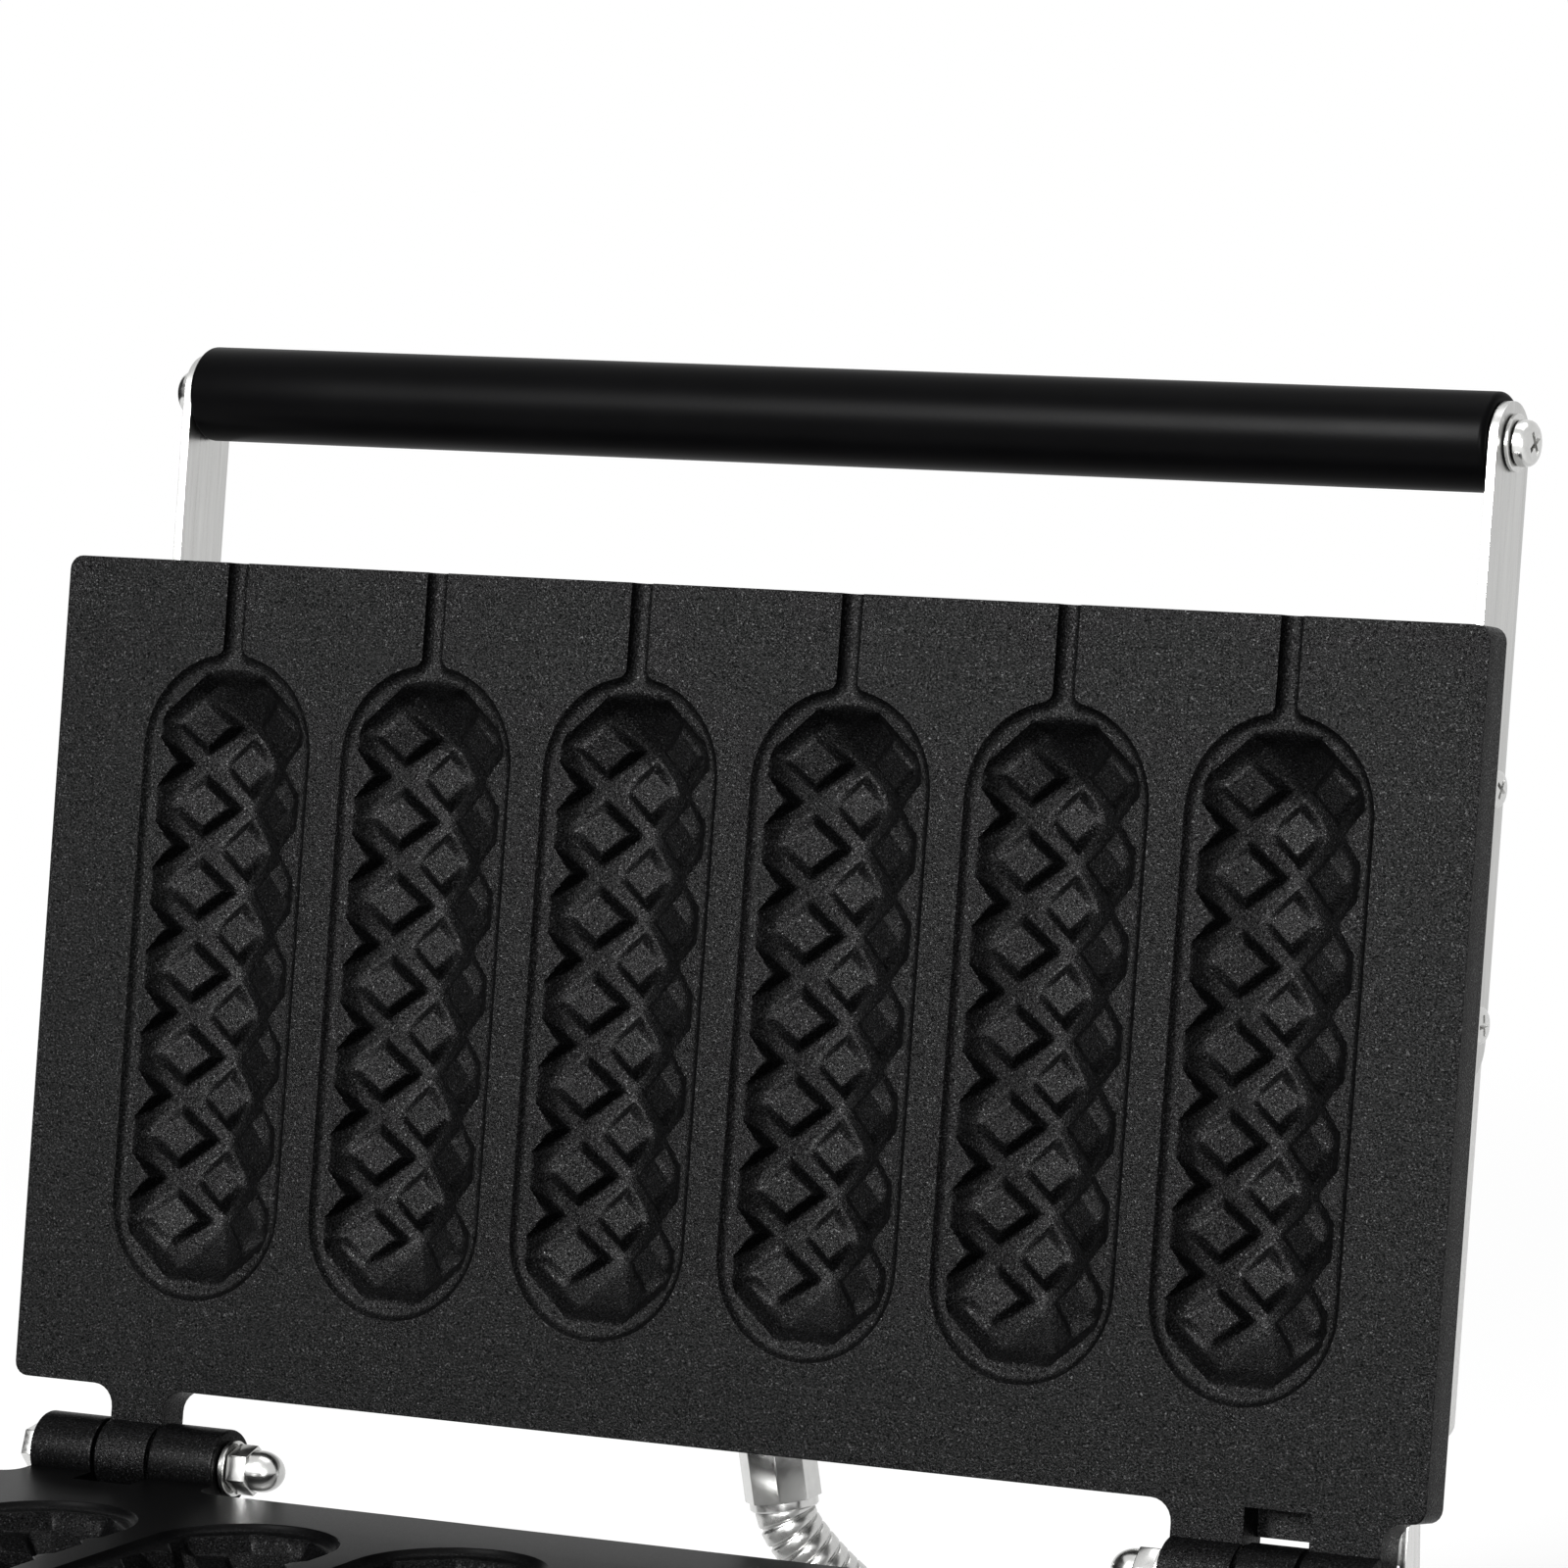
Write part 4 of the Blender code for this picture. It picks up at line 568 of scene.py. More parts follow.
# One side of the recess's wall and of the stick groove, which share their rows
def contour(inset):
    c = cavity
    radius, reach, fillet = c["width"] / 2, c["length"] / 2 - c["width"] / 2, c["mouth"]
    centre = (c["groove"] + fillet, -reach - math.sqrt((radius + fillet) ** 2 - (c["groove"] + fillet) ** 2))
    meet = math.degrees(math.atan2(-reach - centre[1], -centre[0]))
    front = plateFront - plateMiddle
    straight, mouth, nearEnd, side, farEnd = c["parts"]
    spots = [(c["groove"] - inset, front + (centre[1] - front) * step / straight, 1.0) for step in range(straight)]
    curve = arc(centre, fillet + inset, 180, meet, mouth)
    spots += [(x, y, 1 - index / mouth) for index, (x, y) in enumerate(curve)]
    spots += [(x, y, 0.0) for x, y in arc((0, -reach), radius - inset, meet - 180, 0, nearEnd)[1:]]
    spots += [(radius - inset, -reach + 2 * reach * step / side, 0.0) for step in range(1, side + 1)]
    spots += [(x, y, 0.0) for x, y in arc((0, reach), radius - inset, 0, 90, farEnd)[1:]]
    return spots


def addRecess(bm):
    c = cavity
    rows = []
    for inset, wall in zip(c["steps"], c["wall"]):
        groove = -math.sqrt(c["groove"] ** 2 - (c["groove"] - inset) ** 2)
        row = []
        for x, y, share in contour(inset):
            ease = share * share * (3 - 2 * share)
            row.append((max(x, 0), y, wall + (groove - wall) * ease))
        rows.append(row)
    count = len(rows[0])
    grid = bmesh.ops.create_grid(bm, x_segments=count - 1, y_segments=len(rows) - 1, size=1)["verts"]
    for vert in grid:
        across = round((vert.co.x + 1) / 2 * (count - 1))
        inward = round((vert.co.y + 1) / 2 * (len(rows) - 1))
        vert.co = rows[inward][across]
    bmesh.ops.mirror(bm, geom=bm.verts[:] + bm.edges[:] + bm.faces[:], axis="X", merge_dist=0.001)
    bmesh.ops.remove_doubles(bm, verts=bm.verts, dist=0.01)


# One whole cavity, in millimetres about its own middle, open along its upper edge
def makeCavity():
    bm, wall = bmesh.new(), bmesh.new()
    addPocket(bm)
    edges = [edge for edge in bm.edges if edge.is_boundary]
    inner = set(edges)
    addRecess(wall)
    join(bm, wall)
    for edge in bm.edges:
        if edge.is_boundary and edge not in inner:
            ends = [vert.co for vert in edge.verts]
            onGround = all(end.z < -cavity["floor"] + 0.05 for end in ends)
            if onGround and not all(abs(end.y - (plateFront - plateMiddle)) < 0.01 for end in ends):
                edges.append(edge)
    fill(bm, edges)
    made = bpy.data.meshes.new("cavity")
    bm.to_mesh(made)
    bm.free()
    return made


def rearOutline():
    k, c, half = knuckles, plate["corner"], plate["width"] / 2
    f, end = k["fillet"], k["hidden"]
    spots = arc((half - c, plateRear - c), c, 0, 90, 5)
    for low, high in reversed(k["lugs"]):
        spots += [(high, plateRear)] if high in k["notch"] else arc((high + f, plateRear + f), f, 270, 180, 6)
        spots += [(high, end), (low, end)]
        spots += [(low, plateRear)] if low in k["notch"] else arc((low - f, plateRear + f), f, 0, -90, 6)
    return spots + arc((c - half, plateRear - c), c, 90, 180, 5)


# The casting's underside rises towards the knuckles
def undersideAt(y, rise):
    drop = plate["rim"]
    if y <= plateRear:
        return -drop
    away = Vector((-plateRear, rise + drop))
    angle = math.atan2(away.y, away.x) - math.asin(knuckles["radius"] / away.length)
    return max(-drop + (y - plateRear) * math.tan(angle), -drop)


# The verts on the casting's front, from left to right
def alongFront(verts):
    return sorted((vert for vert in verts if abs(vert.co.y - plateFront) < near), key=lambda vert: vert.co.x)


def makePlate(name, unit, place, rise, finish, body, node):
    p, k = plate, knuckles
    half, c = p["width"] / 2, p["corner"]
    bm = bmesh.new()
    for index in range(cavity["count"]):
        middle = (index - (cavity["count"] - 1) / 2) * cavity["pitch"]
        before = len(bm.verts)
        bm.from_mesh(unit)
        bm.verts.ensure_lookup_table()
        bmesh.ops.translate(bm, vec=(middle, plateMiddle, 0), verts=bm.verts[before:])
    openEdges = [edge for edge in bm.edges if edge.is_boundary]
    rims = [edge for edge in openEdges if all(abs(vert.co.z) < near for vert in edge.verts)]
    mouths = [edge for edge in openEdges if edge not in rims]
    ends = alongFront(vert for vert in bm.verts if abs(vert.co.z) < near)
    outline = arc((c - half, plateFront + c), c, 180, 270, 5)
    corners = arc((half - c, plateFront + c), c, 270, 360, 5) + rearOutline()
    left, right = ([bm.verts.new((*spot, 0)) for spot in spots] for spots in (outline, corners))
    chain = [left[-1]] + ends + [right[0]]
    front = [bm.edges.new(pair) for pair in zip(chain[::2], chain[1::2])]
    loop = right + left
    around = [bm.edges.new(pair) for pair in zip(loop, loop[1:])]
    fill(bm, rims + front + around)
    drawn = bmesh.ops.extrude_edge_only(bm, edges=around)
    low, bottom = pick(drawn, BMVert), pick(drawn, BMEdge)
    for vert in low:
        vert.co.z = undersideAt(vert.co.y, rise)
    lowFront = alongFront(low)
    tips = lowFront[0], lowFront[-1]
    frontLow = bm.edges.new(tips)
    upright = [edge for tip in tips for edge in tip.link_edges if abs(edge.other_vert(tip).co.z) < near]
    fill(bm, front + mouths + upright + [frontLow], (0, -1, 0))
    reach = p["depth"] / 2 - p["coreInset"]
    turns = ((-1, -1), (1, -1), (1, 1), (-1, 1))
    ring = addRing(bm, [(side * p["coreWidth"] / 2, plateMiddle + end * reach, -p["rim"]) for side, end in turns])
    fill(bm, bottom + [frontLow] + ring, (0, 0, -1))
    for vert in pick(bmesh.ops.extrude_edge_only(bm, edges=ring), BMVert):
        vert.co.z = -(p["rim"] + p["core"])
    bmesh.ops.holes_fill(bm, edges=[edge for edge in bm.edges if edge.is_boundary])
    cleanUp(bm, 0.002)

    def onOutline(edge):
        first, second = (vert.co for vert in edge.verts)
        middle, level = (first + second) / 2, max(first.z, second.z)
        atFront, out = middle.y < plateFront + 0.01, abs(middle.x)
        if level > -0.01 and abs(first.z - second.z) < 0.01:
            return atFront or out > half - c - 0.2 or middle.y > plateRear - 1
        return level < -p["rim"] + 0.01 and (out > half - c or atFront)

    soften(bm, [edge for edge in bm.edges if isSharp(edge, 60) and onOutline(edge)], p["edge"])
    bmesh.ops.scale(bm, vec=(mm, mm, mm), verts=bm.verts)
    r, e, b = k["radius"], k["edge"], k["bore"]
    for start, end in k["lugs"]:
        width = end - start
        profile = [(b, 0), (r - e, 0), (r - e * 0.3, e * 0.3), (r, e), (r, width - e), (r - e * 0.3, width - e * 0.3)]
        spot = Matrix.Translation((start * mm, 0, rise * mm)) @ toRight
        addTurned(bm, profile + [(r - e, width), (b, width), (b, 0)], 56, spot)
    low, high, post = -p["postEnd"], -p["rim"] - 2, p["post"]
    for side, end in turns:
        x, y = side * (p["coreWidth"] / 2 - p["postInset"]), plateMiddle + end * (reach - p["postInset"])
        addTurned(bm, [(0, low), (post, low), (post, high), (0, high)], 20, Matrix.Translation((x * mm, y * mm, 0)))
    if rise < 0:
        addBlock(bm, *k["web"])
    keepNormals(finishPiece(name, bm, finish, body, node, 40, place))


# Draws a ring of edges on through more rings, each given as (radius, height) in millimetres
def drawRings(bm, edges, rings):
    for radius, height in rings:
        drawn = bmesh.ops.extrude_edge_only(bm, edges=edges)
        for vert in pick(drawn, BMVert):
            share = radius * mm / math.hypot(vert.co.x, vert.co.y)
            vert.co = (vert.co.x * share, vert.co.y * share, height * mm)
        edges = pick(drawn, BMEdge)
    return edges


screws = {  # turn is how far the first one's cross stands round, and more is how far each next one turns on
    "cover": {"shank": 2.0, "reach": 8, "head": 4.0, "height": 2.6, "turn": 15, "more": 37},
    "arm": {"shank": 2.0, "reach": 8, "head": 4.2, "height": 2.8, "turn": 12, "more": 50},
    "handle": {"shank": 2.5, "reach": 16, "head": 5.0, "height": 3.4, "turn": 38, "more": 0},
    "bracket": {"shank": 2.0, "reach": 8, "head": 4.2, "height": 2.8, "turn": 25, "more": 40},
    "cross": {"half": 0.56, "width": 0.115, "depth": 0.5, "taper": 0.6},  # shares of the head
}
# A pan head's side from its flat top down, and its top's radius, as shares of its size
headEdge = ((0.80, 0.955), (0.91, 0.83), (0.975, 0.66), (1, 0.45), (1, 0.07), (0.96, 0))
headTop = 0.68


# A pan head with a cross, and its shank
def makeScrew(name, kind, place, body, node, finish="screwSteel", index=0):
    size, cross = screws[kind], screws["cross"]
    r, h, shank, reach = size["head"], size["height"], size["shank"], size["reach"]
    bm = bmesh.new()
    ring = bmesh.ops.create_circle(bm, segments=40, radius=headTop * r * mm)["verts"]
    bmesh.ops.translate(bm, vec=(0, 0, h * mm), verts=ring)
    rim = edgesAt(ring)
    half, wide = cross["half"] * r * mm, cross["width"] * r * mm
    corner = [Vector(spot) for spot in ((wide, half), (wide, wide), (half, wide))]
    turn = size["turn"] + size["more"] * index
    turns = [Matrix.Rotation(math.radians(turn - 90 * quarter), 2) for quarter in range(4)]
    edges = addRing(bm, [(*(swing @ spot), h * mm) for swing in turns for spot in corner])
    fill(bm, rim + edges)
    sunk = bmesh.ops.extrude_edge_only(bm, edges=edges)
    for vert in pick(sunk, BMVert):
        vert.co = (vert.co.x * cross["taper"], vert.co.y * cross["taper"], h * (1 - cross["depth"]) * mm)
    fill(bm, pick(sunk, BMEdge))
    rings = [(x * r, z * h) for x, z in headEdge] + [(shank, 0), (shank, 0.5 - reach), (shank * 0.75, -reach)]
    bmesh.ops.edgeloop_fill(bm, edges=drawRings(bm, rim, rings))
    settle(bm, (), place)
    finishPiece(name, bm, finish, body, node)


def makeScrews(name, kind, places, body, node):
    for index, place in enumerate(places):
        makeScrew(f"{name}{index + 1}", kind, place, body, f"{node}_{index + 1}", index=index)


# A prism with flat sides, as a nut, a bolt head or a sleeve, with its edges rounded
def addPrism(bm, flats, low, high, soft, place, sides=6, turn=0):
    before = set(bm.verts)
    radius = flats / 2 / math.cos(math.pi / sides) * mm
    stand = Matrix.Translation((0, 0, (high + low) / 2 * mm)) @ Matrix.Rotation(math.radians(turn), 4, "Z")
    size = {"radius1": radius, "radius2": radius, "depth": (high - low) * mm}
    made = bmesh.ops.create_cone(bm, cap_ends=True, segments=sides, matrix=stand, **size)["verts"]
    soften(bm, edgesAt(made), soft * mm)
    settle(bm, before, place)


def makeWasher(name, size, place, body, node):
    r, hole, thick = size
    soft = 0.2
    profile = [(hole, 0), (r - soft, 0), (r, soft), (r, thick - soft), (r - soft, thick), (hole, thick), (hole, 0)]
    turnedPiece(name, profile, 44, place, "brightSteel", body, node)


hinges = {
    "seat": 165.8,  # of the bolt's head
    "shank": ((0, -58.1), (2.5, -58.1), (3, -57.6), (3, 0.2), (0, 0.2)),
    "flats": 10, "head": 4, "washer": (6.3, 3.3, 1.2), "washerSeat": 116.7, "nutSeat": 115.2, "nutHeight": 5,
    "soft": 0.35, "nutSoft": 0.3, "boltTurn": 8, "nutTurn": 18,
    "neck": [(0, 4), (4.75, 4), (4.75, 6.4)],
    "dome": (4.75, 6.4, 5.6, 10),
}


# Each hinge turns on a bolt from outside, with a washer and a domed nut on its inner end
def makeHinge(side, name):
    h, small = hinges, name.lower()
    outward, inward = (toRight, toLeft) if side > 0 else (toLeft, toRight)
    bolt, nut = bmesh.new(), bmesh.new()
    place = onBase(side * h["seat"], 0, 0) @ outward
    addPrism(bolt, h["flats"], 0, h["head"], h["soft"], place, turn=h["boltTurn"] * side)
    addTurned(bolt, h["shank"], 32, place)
    finishPiece("hingeBolt" + name, bolt, "screwSteel", "base", "hinge_bolt_" + small)
    place = onBase(side * h["washerSeat"], 0, 0) @ inward
    makeWasher("hingeWasher" + name, h["washer"], place, "base", "hinge_washer_" + small)
    place = onBase(side * h["nutSeat"], 0, 0) @ inward
    addPrism(nut, h["flats"], 0, h["nutHeight"], h["nutSoft"], place, turn=h["nutTurn"])
    addTurned(nut, h["neck"] + dome(*h["dome"]), 48, place)
    finishPiece("hingeNut" + name, nut, "brightSteel", "base", "hinge_nut_" + small)


arms = {
    "sheet": (161.0, 163.0),  # its two sides
    "front": -243.0,  # the middle of the bar grip
    "rear": -116.8, "width": 17.6, "level": 30.4, "soft": 0.3,
    "screws": (-120, -170), "holes": (2.7, 2.2), "washer": (6.2, 2.8, 1.0), "seat": 163.3, "headSeat": 164.6,
}


def makeArm(side, name):
    a, small = arms, name.lower()
    outward = toRight if side > 0 else toLeft
    half, level, front = a["width"] / 2, a["level"], a["front"]
    outline = arc((front, level), half, 90, 270, 24) + arc((a["rear"], level), half, -90, 90, 24)
    large, little = a["holes"]
    holes = [circle(front, level, large, 28)] + [circle(y, level, little, 28) for y in a["screws"]]
    bm = bmesh.new()
    addSlab(bm, [outline] + holes, *sorted(side * x for x in a["sheet"]), sideways)
    softenSharp(bm, a["soft"])
    keepNormals(finishPiece("arm" + name, bm, "armSteel", "lid", "handle_arm_" + small, 40, lidFrame))
    places = [onLid(side * a["seat"], y, level) @ outward for y in a["screws"]]
    makeScrews("armScrew" + name, "arm", places, "lid", "arm_screw_" + small)
    place = onLid(side * a["seat"], front, level) @ outward
    makeWasher("gripWasher" + name, a["washer"], place, "lid", "handle_washer_" + small)
    place = onLid(side * a["headSeat"], front, level) @ outward
    makeScrew("gripScrew" + name, "handle", place, "lid", "handle_screw_" + small, "brightSteel")


grip = {"radius": 10.75, "half": 160.7, "round": 1.3, "bore": 2.8, "boreDepth": 16}


def makeGrip():
    g = grip
    r, half, soft, bore, deep = g["radius"], g["half"], g["round"], g["bore"], g["half"] - g["boreDepth"]
    end = [(0, deep), (bore, deep), (bore, half - 0.3), (bore + 0.3, half)]
    end += arc((r - soft, half - soft), soft, 0, 90, 5)[::-1]
    between = [(r, half * share) for share in (0.75, 0.5, 0.25, 0)]
    other = [(radius, -height) for radius, height in reversed(end + between[:-1])]
    place = onLid(0, arms["front"], arms["level"]) @ toRight
    turnedPiece("barGrip", end + between + other, 80, place, "gripPlastic", "lid", "handle_grip")


cover = {
    "low": (-160.7, -191, 7), "high": (160.7, -31, 45), "corner": 4, "fold": 2.4, "sheet": 1,
    "screws": ((-141, -42), (141, -42), (-141, -177), (141, -177)), "screwSeat": 45.3,
}


# A folded sheet box, open below, whose upright edges and top edge are rounded
def foldedBox(box):
    bm = bmesh.new()
    addBlock(bm, box["low"], box["high"])
    bmesh.ops.delete(bm, geom=[face for face in bm.faces if face.normal.z < -0.5], context="FACES_ONLY")
    upright = [edge for edge in bm.edges if abs(edge.verts[0].co.z - edge.verts[1].co.z) > mm]
    soften(bm, upright, box["corner"] * mm, 7, False)
    level = box["high"][2] * mm
    top = [edge for edge in bm.edges if all(abs(end.co.z - level) < 1e-6 for end in edge.verts)]
    soften(bm, top, box["fold"] * mm, 4, False)
    settle(bm, (), still)
    return bm


def makeCover():
    c = cover
    made = finishPiece("lidCover", foldedBox(c), "lidSheet", "lid", "lid_cover", 40, lidFrame)
    giveThickness(made, c["sheet"])
    makeScrews("coverScrew", "cover", [onLid(x, y, c["screwSeat"]) for x, y in c["screws"]], "lid", "cover_screw")


ferrule = {
    "seat": (0, -30.7, 33),
    "lean": (-80, 0, -8),  # degrees, from the closed lid's upward direction
    "start": 3.5, "length": 29.5, "sides": 8, "flats": 16, "turn": 22.5,
    "collar": 7.7, "collarLength": 2, "bore": 6.35, "soft": 0.35, "collarSoft": 0.4,
    "flange": ((0, -4), (6, -4), (6, 0), (7.5, 0), (7.7, 0.2), (7.7, 4.6), (6.9, 5.4), (0, 5.4)),
}


# The end sleeve of the conduit: an octagon with a round collar at its mouth
def addSleeve(bm, start, length, place):
    f = ferrule
    end = length - f["collarLength"]
    addPrism(bm, f["flats"], start, end, f["soft"], place, f["sides"], f["turn"])
    r, bore, soft = f["collar"], f["bore"], f["collarSoft"]
    profile = [(bore - 1, end - 1.5), (r - 0.2, end - 1.5), (r, end), (r, length - soft), (r - soft, length)]
    profile += [(bore, length), (bore, end + 0.3), (0, end + 0.3), (0, end - 1.5), (bore - 1, end - 1.5)]
    addTurned(bm, profile, 44, place)


def makeFerrule():
    f = ferrule
    lean = Euler([math.radians(angle) for angle in f["lean"]]).to_matrix().to_4x4()
    seat = onLid(*f["seat"])
    bm = bmesh.new()
    addSleeve(bm, f["start"], f["length"], seat @ lean)
    addTurned(bm, f["flange"], 44, seat @ toRear)
    finishPiece("conduitFerrule", bm, "brightSteel", "lid", "conduit_lid_ferrule", 28)
    tip = baseFrame.inverted() @ seat @ lean
    return tip @ Vector((0, 0, f["length"] * mm)), (tip.to_3x3() @ Vector((0, 0, 1))).normalized()


conduit = {
    "pitch": 3.3,
    "straight": 13.5,
    # one band of the wound strip: how far out it stands, at shares of the pitch
    "band": ((6.1, 0.0), (6.5, 0.05), (6.75, 0.14), (6.72, 0.72), (6.62, 0.80), (6.2, 0.85), (6.05, 0.95), (6.1, 1.0)),
    "route": (
        *((9.5, 41.5, -15), (20, 48.5, -27), (36, 56, -38), (56, 62.5, -48), (77, 64.5, -57)),
        *((95, 58.5, -64), (106, 46, -68.5), (110, 35.8, -70), (110, 22.3, -70), (110, 8.8, -70)),
    ),
    "steps": 26,
    "blendFrom": (110, 22.3, -70),
}


def smoothLine(points):
    slopes = [(after - before).normalized() for before, after in zip(points[:1] + points, points[1:] + points[-1:])]
    slopes[1], slopes[-2] = slopes[0], slopes[-1]
    line = []
    for first, last, start, end in zip(points, points[1:], slopes, slopes[1:]):
        third = (last - first).length / 3
        line += interpolate_bezier(first, first + start * third, last - end * third, last, 24)[:-1]
    return line + [points[-1]]


# Bends a straight piece along a line, with its length along Z laid on the line
def bendAlong(bm, line):
    reach, heading = [0], []
    for first, last in zip(line, line[1:]):
        reach.append(reach[-1] + (last - first).length)
        heading.append((last - first).normalized())
    heading.append(heading[-1])
    sides = [heading[0].orthogonal().normalized()]
    for first, last in zip(heading, heading[1:]):
        sides.append(first.rotation_difference(last) @ sides[-1])
    for vert in bm.verts:
        along = min(max(vert.co.z, 0), reach[-1] * 0.999999)
        index = bisect_right(reach, along) - 1
        share = (along - reach[index]) / (reach[index + 1] - reach[index])
        forward = heading[index].lerp(heading[index + 1], share).normalized()
        side = sides[index].lerp(sides[index + 1], share).normalized()
        spot = line[index].lerp(line[index + 1], share)
        vert.co = spot + side * vert.co.x + forward.cross(side) * vert.co.y


# The conduit is one strip wound round and round, so its bands climb as a screw thread does
def makeConduit(ferruleEnd, along):
    c = conduit
    pitch = c["pitch"] * mm
    points = [ferruleEnd - along * c["straight"] * mm, ferruleEnd] + [Vector(spot) * mm for spot in c["route"]]
    line = smoothLine([Vector(point) for point in points])
    length = sum((last - first).length for first, last in zip(line, line[1:]))
    turns = int(length / mm / c["pitch"]) - 1
    bm = bmesh.new()
    spots = [bm.verts.new((radius * mm, 0, share * pitch)) for radius, share in c["band"]]
    edges = [bm.edges.new(pair) for pair in zip(spots, spots[1:])]
    climb = {"axis": (0, 0, 1), "cent": (0, 0, 0), "dvec": (0, 0, pitch / c["steps"])}
    bmesh.ops.spin(bm, geom=spots + edges, angle=math.tau * turns, steps=c["steps"] * turns, **climb)
    bmesh.ops.remove_doubles(bm, verts=bm.verts, dist=0.00002)
    bmesh.ops.holes_fill(bm, edges=[edge for edge in bm.edges if edge.is_boundary])
    bendAlong(bm, line)
    cleanUp(bm, 0.000005)
    made = finishPiece("conduit", bm, "conduitSteel", None, "conduit_hose", 50, baseFrame)
    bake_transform(made)


bracket = {
    "web": (165.8, 167.3),
    "outline": (
        *((-24, -47), (4, -47), (15.467, -23.5), (15.467, 18.922), (10.027, 19.735)),
        *((7.884, 5.394), (9.274, 0), (4.637, -9.274), (0, -14), (-24, -14)),
    ),
    "lip": ((7.884, 5.394), (9.367, 5.172), (11.511, 19.513), (10.027, 19.735)),
    "lipEnds": (158.3, 166.8),
    "soft": 0.25,
    "screws": ((-15.6, -22.25), (-4.4, -38.75)),
    "hole": 2.2,
    "seat": 167.6,
}


# The open lid leans on this bracket's folded lip
def makeBracket():
    b = bracket
    bm, lip = bmesh.new(), bmesh.new()
    addSlab(bm, [b["outline"]] + [circle(y, z, b["hole"], 20) for y, z in b["screws"]], *b["web"], sideways)
    addSlab(lip, [b["lip"]], *b["lipEnds"], sideways)
    softenSharp(bm, b["soft"])
    softenSharp(lip, b["soft"])
    join(bm, lip)
    finishPiece("stopBracket", bm, "bracketSteel", "base", "lid_stop_bracket", 40, baseFrame)
    places = [onBase(b["seat"], y, z) @ toRight for y, z in b["screws"]]
    makeScrews("bracketScrew", "bracket", places, "base", "bracket_screw")


base = {
    "low": (-165.5, -232, -107.7), "high": (165.5, 4, -11.9), "corner": 6, "fold": 3, "sheet": 1.2,
    "opening": ((-151.5, -187.5), (151.5, -187.5), (151.5, -31.5), (-151.5, -31.5)),
    "slots": 8, "slotPitch": 12, "slotSize": (3, 26), "slotMiddle": (-109.5, -62),
}


# Makes openings in the largest face that looks outwards
def cutFace(bm, outward, loops):
    face = max(bm.faces, key=lambda face: face.calc_area() * (face.normal.dot(outward) > 0.9))
    edges = face.edges[:]
    bmesh.ops.delete(bm, geom=[face], context="FACES_ONLY")
    for loop in loops:
        edges += addRing(bm, [Vector(spot) * mm for spot in loop])
    fill(bm, edges, outward)


# The housing is one folded sheet box: open below, with the plate's opening in its top and slots in its sides
def makeHousing():
    b = base
    bm = foldedBox(b)
    cutFace(bm, (0, 0, 1), [[(x, y, b["high"][2]) for x, y in b["opening"]]])
    (middle, level), (long, tall) = b["slotMiddle"], b["slotSize"]
    for side in (-1, 1):
        loops = []
        for index in range(b["slots"]):
            y, end = middle + (index - (b["slots"] - 1) / 2) * b["slotPitch"], (tall - long) / 2
            loop = arc((y, level + end), long / 2, 0, 180, 8) + arc((y, level - end), long / 2, 180, 360, 8)
            loops.append([(side * b["high"][0], *spot) for spot in loop])
        cutFace(bm, (side, 0, 0), loops)
    bmesh.ops.recalc_face_normals(bm, faces=bm.faces)
    made = finishPiece("baseHousing", bm, "baseSheet", "base", "base_housing", 40, baseFrame)
    giveThickness(made, b["sheet"])
    keepNormals(made)


feet = {
    "side": 145,
    "places": {"front": -210, "rear": -18},
    "profile": (
        (0, -122), (8.6, -122), (9.3, -121.8), (9.6, -121.2), (9.9, -118), (11, -109), (10.9, -108.2),
        (10.4, -108), (3, -108), (3, -102.4), (2.4, -101.8), (0, -101.8),
    ),
}


def makeFeet():
    for end, y in feet["places"].items():
        for way, side in (("left", -1), ("right", 1)):
            name, place = "foot" + end.title() + way.title(), onBase(side * feet["side"], y, 0)
            turnedPiece(name, feet["profile"], 48, place, "rubber", "base", f"foot_{end}_{way}", 40)


panel = {
    "width": 300, "height": 70, "corner": 4, "back": 232.3, "face": 233.3, "soft": 0.25, "level": -62,
    "knobSide": 88, "knobLevel": -60, "numberRing": 27.2, "textSize": 5.4, "smallText": 3.9, "ink": 0.06,
    "longTick": (0.32, 22.6, 24.4),  # half its width, and where it starts and ends
    "shortTick": (0.16, 22.6, 23.6),
    "dials": (
        # side, numbers, whole turn in degrees
        (-1, ("0", "1", "2", "3", "4", "5"), 300),
        (1, ("0", "50", "100", "150", "200", "250", "300"), 270),
    ),
    "parts": 5,  # ticks from one number to the next
}


# A place on the panel's front: right and up from a control's middle, and out from the panel's face
def onPanel(x, level, out=0.0):
    return onBase(x, -panel["face"] - out, level) @ toFront


def addNumber(bm, text, size, place):
    line = bpy.data.curves.new("number", "FONT")
    line.body = text
    line.size = size * mm
    line.align_x = line.align_y = "CENTER"
    line.extrude = panel["ink"] * mm / 2
    line.resolution_u = 4
    holder = bpy.data.objects.new("number", line)
    drawn = bpy.data.meshes.new_from_object(holder)
    drawn.transform(place @ Matrix.Translation((0, 0, panel["ink"] * mm / 2)))
    bm.from_mesh(drawn)
    bpy.data.objects.remove(holder)
    bpy.data.meshes.remove(drawn)


